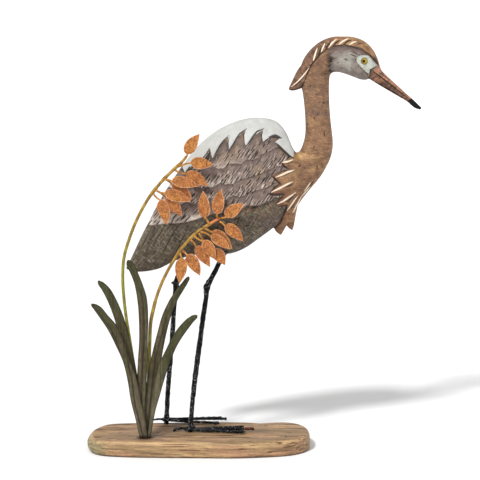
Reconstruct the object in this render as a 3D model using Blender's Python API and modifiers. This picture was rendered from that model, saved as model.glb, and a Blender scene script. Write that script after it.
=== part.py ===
"""Heron decoy: a carved, painted wooden heron on metal legs, beside metal grass, on a wooden board.

The model is in metres with +Z up. The origin is at the middle of the board's underside, the heron
faces +X, and its right side, with the grass before it, faces -Y. Outlines are written in
millimetres and scaled by MM.
"""

import math

import bmesh
import bpy
from mathutils import Vector

MM = 0.001
OBJECT_NAME = "heron_decoy"
GAP = 0.3

BOARD_THICKNESS = 20.0
BOARD_EDGE_ROUND = 4.0
FOOT_HOLE_DEPTH = 6.0

BODY_MIDPLANE_Y = 15.0
SECTION_SIDES = 16
SECTION_FULLNESS = 2.3

EYE_RADIUS = 3.6
EYE_CENTRE = (196.3, 468.0)
EYE_DEPTH_FROM_MIDPLANE = 10.6

TOE_RADIUS = 2.2
LEG_SIDES_RESOLUTION = 2

BLADE_THICKNESS = 1.2
BLADE_FOLD = 0.7
STEM_RADIUS = 1.6
LEAF_THICKNESS = 1.2
LEAF_WIDTH = 13.6
PETIOLE_WIDTH = 1.8
LEAF_CUP = 0.6

# Spokes of the body, neck, head and bill: back (x, z), front (x, z), half thickness.
HERON_SPOKES = (
    ((-88.6, 219.5), (-87.5, 216.6), 3),
    ((-83, 229.5), (-74, 213.6), 8),
    ((-73, 251), (-50, 217.3), 15),
    ((-62, 273), (-28, 228), 21),
    ((-50, 296), (-5, 234.8), 26),
    ((-37, 318), (16, 236), 30),
    ((-20, 343), (37, 236.2), 32.5),
    ((1, 369), (55, 242.8), 33),
    ((28, 389), (71, 254), 32.5),
    ((55, 399), (86, 265.5), 31),
    ((77, 400), (98, 275), 28),
    ((93, 395), (109, 285), 25),
    ((103, 384), (118, 295), 22.5),
    ((109, 371), (126, 306), 20),
    ((113, 362), (134, 316), 18),
    ((117, 358), (144, 328), 16.5),
    ((122, 361), (152, 341), 15.5),
    ((126, 371), (158, 355), 15),
    ((128, 382), (160, 370), 14.5),
    ((128, 396), (158, 389), 14),
    ((127, 411), (156, 408), 14),
    ((125, 428), (155, 428), 14),
    ((122, 443), (155, 442), 14.3),
    ((121, 455), (155.5, 449), 14.8),
    ((125, 469), (156.5, 452), 15.3),
    ((134, 481.5), (159, 454.5), 15.7),
    ((147, 491.5), (164, 455.3), 16),
    ((162, 496.3), (170, 454.5), 16),
    ((177, 496.5), (178, 452), 15.6),
    ((190, 494), (186, 449), 14.6),
    ((200, 488.5), (193, 446.5), 13),
    ((208, 479.5), (199, 446), 10.8),
    ((213, 469), (203, 447), 8.2),
    ((217, 457.5), (207, 445), 6.2),
    ((225, 449), (215, 440), 5.4),
    ((236, 439), (227, 433), 4.8),
    ((247, 429), (239.5, 425.8), 4),
    ((256, 421.2), (250, 419.5), 3),
    ((262, 415.5), (257.5, 413), 2),
    ((266, 412), (264.3, 410.4), 0.8),
)

# The pointed crest at the nape and the two breast plumes, each a small loft from its tip into the body.
CREST_SPOKES = (
    ((108, 434.6), (108.6, 433.6), 0.8),
    ((110.2, 440.5), (113.5, 433.2), 4),
    ((114, 448.5), (122, 436), 8),
    ((119, 458), (131, 441), 11),
    ((129, 470), (141, 449), 12.5),
)
PLUME_SPOKES = (
    (
        ((97.6, 259.6), (98.6, 259.4), 0.8),
        ((92.5, 264.5), (102, 265.5), 5),
        ((89.5, 272), (106.5, 273.5), 10),
        ((92, 284), (112, 284.5), 14),
    ),
    (
        ((111.6, 265.4), (112.4, 265.4), 0.8),
        ((106.5, 270), (114, 272), 4.5),
        ((104.5, 278.5), (115.8, 282.5), 9),
        ((105, 290), (118, 294), 13),
    ),
)

# Route of each leg's rod as (x, y, z, radius), from the board up into the belly, and its toes.
RIGHT_LEG_ROD = (
    (-10.5, -5.5, 21.5, 2.6), (-10.5, -5.2, 27, 3.4), (-10.3, -4.8, 36, 2.6), (-7.6, -3.5, 66, 2.7),
    (-4, -2.5, 96, 3), (0.2, -2, 127, 3), (4.2, -1.5, 157, 2.8), (8.2, -1, 184, 2.7), (9, -1, 193, 3.2),
    (10.3, -0.8, 199, 3.6), (13.5, -0.5, 206, 2.8), (22.5, 0.5, 223, 2.6), (32.5, 1.5, 242, 2.7),
    (38.5, 2, 253, 2.7),
)
RIGHT_TOES = (
    ((-11, -5.5, 23), (20, 3, 22.9), (53, 10, 22.6)),
    ((-11, -5.5, 23), (27, -4.5, 23), (60, -2.5, 22.6), (66, -2, 21.9)),
    ((-11, -5.5, 23), (20, -12, 22.7), (47, -16.5, 22.6), (54, -17, 23.2)),
    ((-11, -5.5, 24), (-22, -4.8, 24), (-28, -5.2, 23.2), (-31.5, -6, 21.8)),
)
LEFT_LEG_ROD = (
    (-42, 36, 16, 2.6), (-42, 36, 22, 2.6), (-42, 36, 26, 3.5), (-41.5, 36, 34, 2.6), (-40.3, 35.5, 56, 2.7),
    (-38.3, 35, 82, 2.7), (-36, 34.5, 107, 2.7), (-33.7, 34, 138, 2.7), (-31.5, 33.5, 169, 2.7),
    (-29.8, 33, 188, 2.7), (-29.5, 33, 193, 3.2), (-28.3, 32.8, 199, 3.5), (-25.5, 32.3, 206, 2.8),
    (-16, 31, 224, 2.7), (-6, 29.5, 243, 2.7), (-2, 29, 251, 2.7),
)
LEFT_TOES = (
    ((-42, 36, 25), (-10, 41, 24.9), (25, 48, 24.6)),
    ((-42, 36, 24.8), (-5, 38.5, 24.8), (26, 40, 24.8), (32.5, 40, 24.4)),
    ((-42, 36, 24.6), (-20, 30, 23.9), (12, 25.2, 23.6), (22, 24.5, 23.4)),
    ((-42, 36, 25), (-50, 35.8, 25.3), (-58.5, 35.5, 24.6)),
)
SOCKET_MOUTH = 8.0
SOCKET_CLEARANCE = 0.5

# The right edge of the board bows out a little, and its back edge dips where the bark was.
BOARD_OUTLINE = (
    (-136.5, -6), (-133, -29), (-118, -44), (-84, -51), (-40, -54), (2, -55), (50, -55.5), (97, -48),
    (120, -37), (132, -20), (135, 0), (132, 21), (124, 37), (108, 45.5), (88, 44.5), (74, 42), (60, 45),
    (27, 47), (-10, 46), (-50, 44), (-100, 41), (-120, 34), (-132.5, 16),
)

# Each blade's edges from foot to tip, as left (x, z) and right (x, z), its layer and how far its tip leans.
GRASS_BLADES = {
    "grass_blade_outer_left": (-35.5, -9, (
        ((-71, 18), (-60, 18)), ((-77, 42), (-64.5, 43)), ((-82, 64), (-70, 68)), ((-87, 91), (-75, 96)),
        ((-92.5, 114), (-81.5, 120)), ((-99, 134), (-88, 141)), ((-107, 152), (-96.5, 158)),
        ((-116, 167), (-107, 171)), ((-123, 177.5), (-115, 181)), ((-127.5, 184), (-124, 186)),
    )),
    "grass_blade_outer_right": (-33.2, -8, (
        ((-69, 18), (-58.5, 18)), ((-64, 49), (-52, 50)), ((-59, 71), (-46, 72)), ((-53, 93), (-40.5, 93)),
        ((-47, 113), (-34.5, 112)), ((-39, 129), (-27, 130)), ((-31.5, 143.5), (-20, 142.5)),
        ((-24, 155), (-13.5, 152)), ((-15, 165), (-6.5, 161.5)), ((-8, 170), (-2, 166.5)),
        ((-3.2, 172), (0, 169.5)),
    )),
    "grass_blade_centre": (-30.9, 3, (
        ((-70, 18), (-59, 18)), ((-72, 53), (-58, 53)), ((-73.8, 84), (-57.4, 84)),
        ((-72.8, 112), (-57, 112)), ((-71, 138), (-57.4, 138)), ((-71.2, 165), (-59, 165)),
        ((-72.8, 186.5), (-61.3, 188)), ((-76.2, 206), (-66, 204.5)), ((-81, 219), (-71, 217.5)),
        ((-84.5, 226), (-75, 227.5)), ((-86.5, 233), (-81, 236)),
    )),
    "grass_blade_inner_left": (-28.6, 5, (
        ((-71, 18), (-62, 18)), ((-75.7, 46), (-64.3, 49)), ((-80.3, 71), (-69.5, 75)),
        ((-85, 95), (-74.6, 99)), ((-91, 123), (-80, 127)), ((-95.7, 144), (-84.4, 147.5)),
        ((-101, 164.5), (-89.5, 165.5)), ((-108, 183.5), (-96, 182)), ((-114.7, 197), (-103.7, 197)),
        ((-119, 203.5), (-110.7, 205)), ((-121, 209), (-117, 209.5)),
    )),
    "grass_blade_inner_right": (-26.3, 3, (
        ((-69, 18), (-59.5, 18)), ((-65, 50), (-55, 49.5)), ((-61, 74), (-50.4, 73)),
        ((-58, 101), (-46.7, 98.5)), ((-54.2, 125), (-42.6, 125)), ((-49.3, 147), (-38.3, 147)),
        ((-43.8, 166.5), (-33.3, 165.5)), ((-35.7, 184.2), (-25.8, 184.2)), ((-27.6, 197), (-18.5, 196.8)),
        ((-20.5, 206), (-13.4, 205.4)), ((-13.3, 215), (-9.6, 212.6)),
    )),
}
BLADE_FOOT_Z = 18.0

# Route of each flower stem as (x, y, z), from the board to its end.
TALL_STEM = (
    (-67, -22.3, 18), (-69, -22.3, 45), (-73, -22.3, 76), (-79, -22.3, 113), (-83.5, -22.3, 143),
    (-87, -22.5, 167), (-89.3, -22.8, 190), (-90.3, -23, 212), (-88.7, -23.3, 236), (-82.5, -23.3, 258),
    (-73.5, -23.3, 281), (-60, -23.3, 306), (-45.5, -23.3, 325), (-33, -23.3, 338), (-20, -23.3, 350),
    (-14.2, -23.3, 357),
)
LOW_STEM = (
    (-62.3, -22.3, 18), (-61, -22.3, 64), (-59, -22.3, 100), (-58, -22.3, 131), (-57, -22.4, 157),
    (-54, -22.7, 175), (-50, -23, 190), (-44, -23.2, 206), (-36.5, -23.3, 221.5), (-28, -23.3, 236),
    (-22, -23.3, 245.5), (-14, -23.3, 255), (-4, -23.3, 265), (8, -23.3, 273.5), (20, -23.3, 281),
    (25, -23.3, 284),
)

# Leaves as petiole start, blade base and tip, each (x, z), then layer: 0 behind, 1 between, 2 in front.
TALL_STEM_LEAVES = (
    ((-14.4, 356.5), (-12.6, 360), (1.7, 384), 1),
    ((-22.5, 345.3), (-8.4, 349.9), (17.5, 347.5), 1),
    ((-27.6, 341.5), (-14.3, 336.9), (11.5, 322.7), 0),
    ((-39.3, 330.4), (-30.9, 328.6), (0.9, 322.7), 2),
    ((-50, 317.5), (-39.2, 314.4), (-8.6, 304.9), 2),
    ((-38.6, 330.2), (-30.9, 323.9), (-7.4, 306.7), 0),
    ((-53, 313.3), (-45.1, 306.1), (-37.1, 277), 1),
    ((-49.4, 317.3), (-38.1, 307.3), (-19.9, 287.1), 0),
)
LOW_STEM_LEAVES = (
    ((12.4, 277.3), (7.9, 285.3), (5.6, 316.8), 1),
    ((22.4, 285.3), (22, 289.5), (26.8, 319.1), 1),
    ((27.4, 284.6), (32.7, 285.9), (53.9, 301.4), 1),
    ((25.2, 280.4), (31.5, 275.2), (52.8, 257.3), 1),
    ((7.9, 272.6), (16.1, 268), (39.7, 247.7), 0),
    ((1.7, 268.4), (14.9, 263.2), (37.4, 247.7), 2),
    ((-5, 263.6), (5.4, 257.3), (19.6, 235.7), 2),
    ((-9.3, 258.7), (-2.9, 250.1), (13.6, 226.1), 0),
    ((0.6, 266.6), (18.4, 246.5), (31.4, 228.5), 0),
    ((-18.8, 244.9), (-13.6, 240.5), (1.7, 215.9), 1),
    ((-21.6, 242.9), (-19.7, 236.9), (-22.6, 206.9), 1),
)
PETIOLE_START_Y = (-25.9, -26.1, -27.6)
LEAF_LAYER_Y = (-26.4, -27.9, -29.9)
LEAF_PROFILE = (
    (0.0, 0.15), (0.08, 0.52), (0.24, 0.88), (0.44, 1.0), (0.64, 0.88), (0.84, 0.5), (1.0, 0.06),
)


def clear_scene():
    """Remove whatever the scene holds."""
    for item in list(bpy.data.objects):
        bpy.data.objects.remove(item, do_unlink=True)


def new_collection(name):
    collection = bpy.data.collections.new(name)
    bpy.context.scene.collection.children.link(collection)
    return collection


def new_material(name, colour, roughness, metallic=0.0):
    material = bpy.data.materials.new(name)
    material.use_nodes = True
    shader = material.node_tree.nodes["Principled BSDF"]
    shader.inputs["Base Color"].default_value = (*colour, 1.0)
    shader.inputs["Roughness"].default_value = roughness
    shader.inputs["Metallic"].default_value = metallic
    return material


def to_metres(point):
    return Vector(point) * MM


def mesh_object(name, points, faces, collection, material=None):
    """Make an object from points in millimetres."""
    mesh = bpy.data.meshes.new(name)
    mesh.from_pydata([to_metres(p) for p in points], [], faces)
    item = bpy.data.objects.new(name, mesh)
    if material:
        mesh.materials.append(material)
    collection.objects.link(item)
    return item


def outward_and_smooth(item, sharp_degrees=50):
    """Turn the faces outward and shade the round parts smooth."""
    shape = bmesh.new()
    shape.from_mesh(item.data)
    bmesh.ops.recalc_face_normals(shape, faces=shape.faces)
    shape.to_mesh(item.data)
    shape.free()
    item.data.shade_smooth()
    item.data.set_sharp_from_angle(angle=math.radians(sharp_degrees))


def smooth_value(before, start, end, after, t):
    """The Catmull-Rom curve's value at t between start and end."""
    bend = 2 * before - 5 * start + 4 * end - after
    twist = 3 * start - before - 3 * end + after
    return 0.5 * (2 * start + (end - before) * t + bend * t**2 + twist * t**3)


def smooth_rows(rows, steps):
    """Pass a smooth curve through rows of numbers, adding steps - 1 rows between each two."""
    padded = [rows[0], *rows, rows[-1]]
    result = []
    for before, start, end, after in zip(padded, padded[1:], padded[2:], padded[3:]):
        for step in range(steps):
            result.append([smooth_value(*four, step / steps) for four in zip(before, start, end, after)])
    result.append(list(rows[-1]))
    return result


def spoke_loft(name, spokes, collection, steps=2, material=None):
    """Loft rounded sections that each span from a point on the back to a point on the front."""
    rows = smooth_rows([(*back, *front, half) for back, front, half in spokes], steps)
    points = []
    for back_x, back_z, front_x, front_z, half in rows:
        for side in range(SECTION_SIDES):
            angle = 2 * math.pi * side / SECTION_SIDES
            across = math.copysign(abs(math.cos(angle)) ** (2 / SECTION_FULLNESS), math.cos(angle))
            out = math.copysign(abs(math.sin(angle)) ** (2 / SECTION_FULLNESS), math.sin(angle))
            points.append((
                (back_x + front_x) / 2 + across * (back_x - front_x) / 2,
                BODY_MIDPLANE_Y + out * half,
                (back_z + front_z) / 2 + across * (back_z - front_z) / 2,
            ))
    faces = []
    for row in range(len(rows) - 1):
        for side in range(SECTION_SIDES):
            a = row * SECTION_SIDES + side
            b = row * SECTION_SIDES + (side + 1) % SECTION_SIDES
            faces.append((a, b, b + SECTION_SIDES, a + SECTION_SIDES))
    faces.append(tuple(range(SECTION_SIDES)))
    faces.append(tuple(range(len(points) - SECTION_SIDES, len(points))))
    item = mesh_object(name, points, faces, collection, material)
    outward_and_smooth(item)
    return item


def tube(name, route, collection, radius=None, resolution=2, material=None):
    """Make a closed round tube along (x, y, z) or (x, y, z, radius) points in millimetres."""
    curve = bpy.data.curves.new(name, "CURVE")
    curve.dimensions = "3D"
    curve.bevel_depth = MM
    curve.bevel_resolution = resolution
    curve.use_fill_caps = True
    spline = curve.splines.new("POLY")
    spline.points.add(len(route) - 1)
    for point, place in zip(spline.points, route):
        point.co = (*to_metres(place[:3]), 1.0)
        point.radius = radius or place[3]
    if material:
        curve.materials.append(material)
    item = bpy.data.objects.new(name, curve)
    collection.objects.link(item)
    return item


def as_mesh(item):
    """Replace a curve object by a closed mesh of the same name."""
    name = item.name
    mesh = bpy.data.meshes.new_from_object(item.evaluated_get(bpy.context.evaluated_depsgraph_get()))
    shape = bmesh.new()
    shape.from_mesh(mesh)
    bmesh.ops.remove_doubles(shape, verts=shape.verts, dist=0.00001)
    bmesh.ops.recalc_face_normals(shape, faces=shape.faces)
    shape.to_mesh(mesh)
    shape.free()
    solid = bpy.data.objects.new(name, mesh)
    solid.matrix_world = item.matrix_world
    item.users_collection[0].objects.link(solid)
    bpy.data.objects.remove(item, do_unlink=True)
    solid.name = name
    mesh.shade_smooth()
    return solid


def combine(item, tool, operation, cutters):
    """Add a Boolean modifier and put the tool among the cutters."""
    modifier = item.modifiers.new(tool.name, "BOOLEAN")
    modifier.operation = operation
    modifier.object = tool
    modifier.solver = "EXACT"
    for collection in tool.users_collection:
        collection.objects.unlink(tool)
    cutters.objects.link(tool)
    tool.hide_render = True
    tool.display_type = "WIRE"


def build_board(parts, cutters, material):
    """The wooden board: a soft-edged slab with a hole for the grass and one for the left leg."""
    curve = bpy.data.curves.new("board", "CURVE")
    curve.dimensions = "2D"
    curve.fill_mode = "BOTH"
    curve.extrude = (BOARD_THICKNESS / 2 - BOARD_EDGE_ROUND) * MM
    curve.bevel_depth = BOARD_EDGE_ROUND * MM
    curve.bevel_resolution = 1
    curve.offset = -BOARD_EDGE_ROUND * MM
    curve.materials.append(material)
    outline = smooth_rows([*BOARD_OUTLINE, BOARD_OUTLINE[0]], 2)[:-1]
    spline = curve.splines.new("POLY")
    spline.points.add(len(outline) - 1)
    for point, (x, y) in zip(spline.points, outline):
        point.co = (x * MM, y * MM, 0.0, 1.0)
    spline.use_cyclic_u = True
    board = bpy.data.objects.new("board", curve)
    board.location.z = BOARD_THICKNESS / 2 * MM
    parts.objects.link(board)
    bpy.context.view_layer.update()
    board = as_mesh(board)
    board.data.set_sharp_from_angle(angle=math.radians(50))
    add_hole(board, "grass_hole", (-65.2, -28.9), (20.0, 21.5), cutters)
    add_hole(board, "leg_hole", (-42, 36), (6.2, 6.2), cutters)
    return board


def add_hole(board, name, centre, across, cutters):
    """Sink an oval hole into the board's top."""
    bpy.ops.mesh.primitive_cylinder_add(vertices=16, radius=0.5, depth=1.0)
    hole = bpy.context.object
    hole.name = name
    for vertex in hole.data.vertices:
        x, y, z = vertex.co
        vertex.co = to_metres((
            centre[0] + x * across[0], centre[1] + y * across[1], BOARD_THICKNESS + 2 * z * FOOT_HOLE_DEPTH
        ))
    combine(board, hole, "DIFFERENCE", cutters)


def build_heron(parts, cutters, material):
    """The carved heron in one piece, with sockets for its eyes and legs."""
    heron = spoke_loft("heron", HERON_SPOKES, parts, material=material)
    combine(heron, spoke_loft("crest_tip", CREST_SPOKES, cutters), "UNION", cutters)
    for number, spokes in enumerate(PLUME_SPOKES, 1):
        combine(heron, spoke_loft(f"breast_plume_{number}", spokes, cutters), "UNION", cutters)
    for side in (-1, 1):
        socket = eye_ball(f"eye_socket_{side}", side, EYE_RADIUS + GAP, cutters)
        combine(heron, socket, "DIFFERENCE", cutters)
    for name, rod in (("right", RIGHT_LEG_ROD), ("left", LEFT_LEG_ROD)):
        combine(heron, leg_socket(f"{name}_leg_socket", rod, cutters), "DIFFERENCE", cutters)
    return heron


def leg_socket(name, rod, cutters):
    """A straight hole that takes the top of a leg's rod with a little clearance."""
    below = Vector(rod[-3][:3])
    top = Vector(rod[-1][:3])
    along = (top - below).normalized()
    start = below + along * SOCKET_MOUTH
    end = top + along * GAP
    radius = rod[-1][3] + SOCKET_CLEARANCE
    hole = [(*start, radius), (*end, radius)]
    return as_mesh(tube(name, hole, cutters, resolution=LEG_SIDES_RESOLUTION + 1))


def eye_ball(name, side, radius, collection, material=None):
    bpy.ops.mesh.primitive_uv_sphere_add(segments=12, ring_count=7, radius=radius * MM)
    ball = bpy.context.object
    ball.name = name
    ball.rotation_euler.x = math.radians(90)
    x, z = EYE_CENTRE
    ball.location = to_metres((x, BODY_MIDPLANE_Y + side * EYE_DEPTH_FROM_MIDPLANE, z))
    for old in ball.users_collection:
        old.objects.unlink(ball)
    collection.objects.link(ball)
    if material:
        ball.data.materials.append(material)
    ball.data.shade_smooth()
    return ball


def build_leg(name, rod, toes, parts, cutters, material):
    """A leg: a rod with a knobbed hock and four toes welded round its foot."""
    leg = as_mesh(tube(name, rod, parts, resolution=LEG_SIDES_RESOLUTION, material=material))
    for number, toe in enumerate(toes, 1):
        route = [tuple(p) for p in smooth_rows(toe, 2)]
        taper = [TOE_RADIUS * (1.0 if place < len(route) - 1 else 0.55) for place in range(len(route))]
        spoke = tube(
            f"{name}_toe_{number}", [(*p, r) for p, r in zip(route, taper)], cutters,
            resolution=LEG_SIDES_RESOLUTION,
        )
        combine(leg, as_mesh(spoke), "UNION", cutters)
    return leg


def folded_sheet(name, rows, thickness, parts, material):
    """A sheet three points wide, given thickness: rows of left, middle and right points."""
    points = [point for row in rows for point in row]
    faces = []
    for row in range(len(rows) - 1):
        for column in range(2):
            a = 3 * row + column
            faces.append((a, a + 1, a + 4, a + 3))
    sheet = mesh_object(name, points, faces, parts, material)
    solidify = sheet.modifiers.new("thickness", "SOLIDIFY")
    solidify.thickness = thickness * MM
    solidify.offset = 0.0
    sheet.data.shade_smooth()
    sheet.data.set_sharp_from_angle(angle=math.radians(40))
    return sheet


def build_blade(name, layer_y, lean, edges, parts, material):
    """A blade of grass: a strip folded along its middle, leaning toward its tip."""
    tip_z = edges[-1][0][1]
    rows = []
    for left_x, left_z, right_x, right_z in smooth_rows([(*left, *right) for left, right in edges], 2):
        middle_z = (left_z + right_z) / 2
        y = layer_y + lean * ((middle_z - BLADE_FOOT_Z) / (tip_z - BLADE_FOOT_Z)) ** 2
        fold = BLADE_FOLD * min(1.0, (right_x - left_x) / 8)
        rows.append((
            (left_x, y, left_z), ((left_x + right_x) / 2, y - fold, middle_z), (right_x, y, right_z),
        ))
    return folded_sheet(name, rows, BLADE_THICKNESS, parts, material)


def build_leaf(name, start, base, tip, layer, parts, material):
    """A leaf: a flat petiole that leaves the stem, and a pointed blade cupped along its midrib."""
    start, base, tip = Vector(start), Vector(base), Vector(tip)
    leaf_y = LEAF_LAYER_Y[layer]
    start_y = PETIOLE_START_Y[layer]
    rows = []
    for t in (0.0, 0.5):
        centre = start.lerp(base, t)
        side = (base - start).normalized().orthogonal() * PETIOLE_WIDTH / 2
        y = start_y + (leaf_y - start_y) * t
        rows.append(sheet_row(centre, side, y, 0.0))
    across = (tip - base).normalized().orthogonal()
    for t, width in LEAF_PROFILE:
        half = max(LEAF_WIDTH * width, PETIOLE_WIDTH * (1.0 - t)) / 2
        rows.append(sheet_row(base.lerp(tip, t), across * half, leaf_y, LEAF_CUP * width))
    return folded_sheet(name, rows, LEAF_THICKNESS, parts, material)


def sheet_row(centre, side, y, cup):
    """Left, middle and right points of a sheet that faces -Y."""
    left, right = centre + side, centre - side
    return (left.x, y, left.y), (centre.x, y + cup, centre.y), (right.x, y, right.y)


def build_stem(name, route, parts, material):
    points = [tuple(p) for p in smooth_rows(route, 2)]
    return as_mesh(tube(name, points, parts, radius=STEM_RADIUS, resolution=1, material=material))


def main():
    clear_scene()
    parts = new_collection(OBJECT_NAME)
    cutters = new_collection(OBJECT_NAME + "_cutters")
    board_wood = new_material("board_wood", (0.50, 0.33, 0.20), 0.6)
    painted_wood = new_material("painted_wood", (0.28, 0.23, 0.19), 0.6)
    black_metal = new_material("black_metal", (0.02, 0.02, 0.02), 0.35, 0.6)
    eye_glass = new_material("eye_glass", (0.75, 0.6, 0.08), 0.1)
    green_metal = new_material("green_metal", (0.09, 0.09, 0.045), 0.5, 0.3)
    ochre_metal = new_material("ochre_metal", (0.5, 0.34, 0.08), 0.5, 0.3)
    orange_metal = new_material("orange_metal", (0.6, 0.22, 0.07), 0.45, 0.4)

    build_board(parts, cutters, board_wood)
    build_heron(parts, cutters, painted_wood)
    eye_ball("right_eye", -1, EYE_RADIUS, parts, eye_glass)
    eye_ball("left_eye", 1, EYE_RADIUS, parts, eye_glass)
    build_leg("right_leg", RIGHT_LEG_ROD, RIGHT_TOES, parts, cutters, black_metal)
    build_leg("left_leg", LEFT_LEG_ROD, LEFT_TOES, parts, cutters, black_metal)
    for name, (layer_y, lean, edges) in GRASS_BLADES.items():
        build_blade(name, layer_y, lean, edges, parts, green_metal)
    build_stem("tall_stem", TALL_STEM, parts, ochre_metal)
    build_stem("low_stem", LOW_STEM, parts, ochre_metal)
    for stem, leaves in (("tall", TALL_STEM_LEAVES), ("low", LOW_STEM_LEAVES)):
        for number, leaf in enumerate(leaves, 1):
            build_leaf(f"{stem}_stem_leaf_{number}", *leaf, parts, orange_metal)


if __name__ == "__main__":
    main()
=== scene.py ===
"""Looks of the heron decoy: a carved and painted heron on hammered legs, beside painted metal grass.

Outlines are in millimetres, mostly as (x, z) seen from the heron's right side, and MM turns them into
metres. The heron's carving and paint are the same on both of its sides.
"""

import itertools
import math

import bpy
import numpy as np
from bpy.props import FloatProperty, FloatVectorProperty, PointerProperty
from bpy.types import Operator, Panel, PropertyGroup
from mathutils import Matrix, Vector
from mathutils.kdtree import KDTree


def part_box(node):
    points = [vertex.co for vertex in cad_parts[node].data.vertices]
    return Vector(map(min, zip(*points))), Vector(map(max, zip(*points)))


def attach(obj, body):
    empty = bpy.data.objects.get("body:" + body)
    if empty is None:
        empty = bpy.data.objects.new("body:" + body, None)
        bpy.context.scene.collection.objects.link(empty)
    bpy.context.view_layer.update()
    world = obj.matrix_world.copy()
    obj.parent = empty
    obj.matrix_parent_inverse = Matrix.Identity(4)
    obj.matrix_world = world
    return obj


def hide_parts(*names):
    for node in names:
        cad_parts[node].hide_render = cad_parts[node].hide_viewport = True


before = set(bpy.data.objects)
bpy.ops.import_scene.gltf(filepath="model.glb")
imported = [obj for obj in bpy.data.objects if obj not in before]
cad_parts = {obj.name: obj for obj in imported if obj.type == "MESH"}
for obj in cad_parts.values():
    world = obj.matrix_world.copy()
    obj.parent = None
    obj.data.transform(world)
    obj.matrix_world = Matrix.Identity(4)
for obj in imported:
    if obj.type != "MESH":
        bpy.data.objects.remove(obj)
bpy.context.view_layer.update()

bl_info = {
    "name": "Heron Decoy",
    "version": (1, 0, 0),
    "blender": (4, 5, 0),
    "location": "3D View > Sidebar > Heron Decoy",
    "description": "Builds a carved and painted heron decoy with metal grass and leafy sprays",
    "category": "Add Mesh",
}

MM = 0.001
BODY = "root"

BODY_MIDPLANE = 15.0
HEAD_BOTTOM = 425
SECTION_FULLNESS = 2.3

# Spokes of the body, neck, head and bill: back (x, z), front (x, z), half thickness.
HERON_SPOKES = (
    ((-88.6, 219.5), (-87.5, 216.6), 3),
    ((-83, 229.5), (-74, 213.6), 8),
    ((-73, 251), (-50, 217.3), 15),
    ((-62, 273), (-28, 228), 21),
    ((-50, 296), (-5, 234.8), 26),
    ((-37, 318), (16, 236), 30),
    ((-20, 343), (37, 236.2), 32.5),
    ((1, 369), (55, 242.8), 33),
    ((28, 389), (71, 254), 32.5),
    ((55, 399), (86, 265.5), 31),
    ((77, 400), (98, 275), 28),
    ((93, 395), (109, 285), 25),
    ((103, 384), (118, 295), 22.5),
    ((109, 371), (126, 306), 20),
    ((113, 362), (134, 316), 18),
    ((117, 358), (144, 328), 16.5),
    ((122, 361), (152, 341), 15.5),
    ((126, 371), (158, 355), 15),
    ((128, 382), (160, 370), 14.5),
    ((128, 396), (158, 389), 14),
    ((127, 411), (156, 408), 14),
    ((125, 428), (155, 428), 14),
    ((122, 443), (155, 442), 14.3),
    ((121, 455), (155.5, 449), 14.8),
    ((125, 469), (156.5, 452), 15.3),
    ((134, 481.5), (159, 454.5), 15.7),
    ((147, 491.5), (164, 455.3), 16),
    ((162, 496.3), (170, 454.5), 16),
    ((177, 496.5), (178, 452), 15.6),
    ((190, 494), (186, 449), 14.6),
    ((200, 488.5), (193, 446.5), 13),
    ((208, 479.5), (199, 446), 10.8),
    ((213, 469), (203, 447), 8.2),
    ((217, 457.5), (207, 445), 6.2),
    ((225, 449), (215, 440), 5.4),
    ((236, 439), (227, 433), 4.8),
    ((247, 429), (239.5, 425.8), 4),
    ((256, 421.2), (250, 419.5), 3),
    ((262, 415.5), (257.5, 413), 2),
    ((266, 412), (264.3, 410.4), 0.8),
)

# The nape's crest and the two breast plumes, each from its tip into the body.
CREST_SPOKES = (
    ((108, 434.6), (108.6, 433.6), 0.8),
    ((110.2, 440.5), (113.5, 433.2), 4),
    ((114, 448.5), (122, 436), 8),
    ((119, 458), (131, 441), 11),
    ((129, 470), (141, 449), 12.5),
)
PLUME_SPOKES = (
    (
        ((97.6, 259.6), (98.6, 259.4), 0.8),
        ((92.5, 264.5), (102, 265.5), 5),
        ((89.5, 272), (106.5, 273.5), 10),
        ((92, 284), (112, 284.5), 14),
    ),
    (
        ((111.6, 265.4), (112.4, 265.4), 0.8),
        ((106.5, 270), (114, 272), 4.5),
        ((104.5, 278.5), (115.8, 282.5), 9),
        ((105, 290), (118, 294), 13),
    ),
)

# The painted fields of the carving. Each outline runs past the silhouette where the field does.
MANTLE = (
    (-16, 335), (-10, 343), (-3, 349), (7.5, 353.5), (10, 359), (13, 365.5), (15, 359.5), (16.5, 354),
    (20, 360), (24.5, 368), (30, 375), (35.5, 380), (34.5, 373.5), (35.5, 368), (36.5, 364), (41, 370),
    (45.5, 377), (50, 382.5), (55.5, 387.5), (53.5, 382.5), (54, 376.5), (55, 371), (57.5, 368.5),
    (62, 375), (68, 382), (73, 385.5), (76.5, 387), (75, 382.5), (75, 377), (77, 373.5), (81, 376.5),
    (89, 379.5), (97, 377.5), (93.5, 374.5), (90, 372.5), (95, 369), (101, 363), (108, 356.5), (112, 354),
    (114, 360), (118, 390), (118, 430), (-60, 430),
)
BODY_FIELD = (
    (113, 357), (112, 354), (105, 352), (98, 349), (107, 341.5), (100, 338.5), (91, 335.5), (86.5, 333),
    (96.5, 324), (92, 320.5), (87, 316.5), (84.5, 312.5), (91, 311.5), (101.5, 311.5), (98, 308),
    (92, 301), (95.5, 295.5), (104, 297.5), (103.5, 289.5), (102, 284.5), (100, 281), (97, 274.5),
    (92.5, 270), (90, 262), (90, 220), (-140, 180), (-140, 430), (118, 430), (118, 390), (114, 364),
)
WING = (
    (-64, 273), (-57, 272.5), (-51.5, 273), (-42.5, 275.5), (-34, 276.5), (-26.5, 276.8), (-18.5, 278),
    (-12, 279), (-2, 281.5), (5.5, 284.5), (11, 286.5), (18.5, 289.5), (35, 291), (43, 292.5),
    (49, 293.5), (54.5, 296), (58.5, 298), (64.5, 298), (70.5, 298.5), (78, 301), (84.5, 303.5),
    (88, 305.5), (110, 312), (130, 430), (-140, 430), (-140, 262),
)
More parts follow.
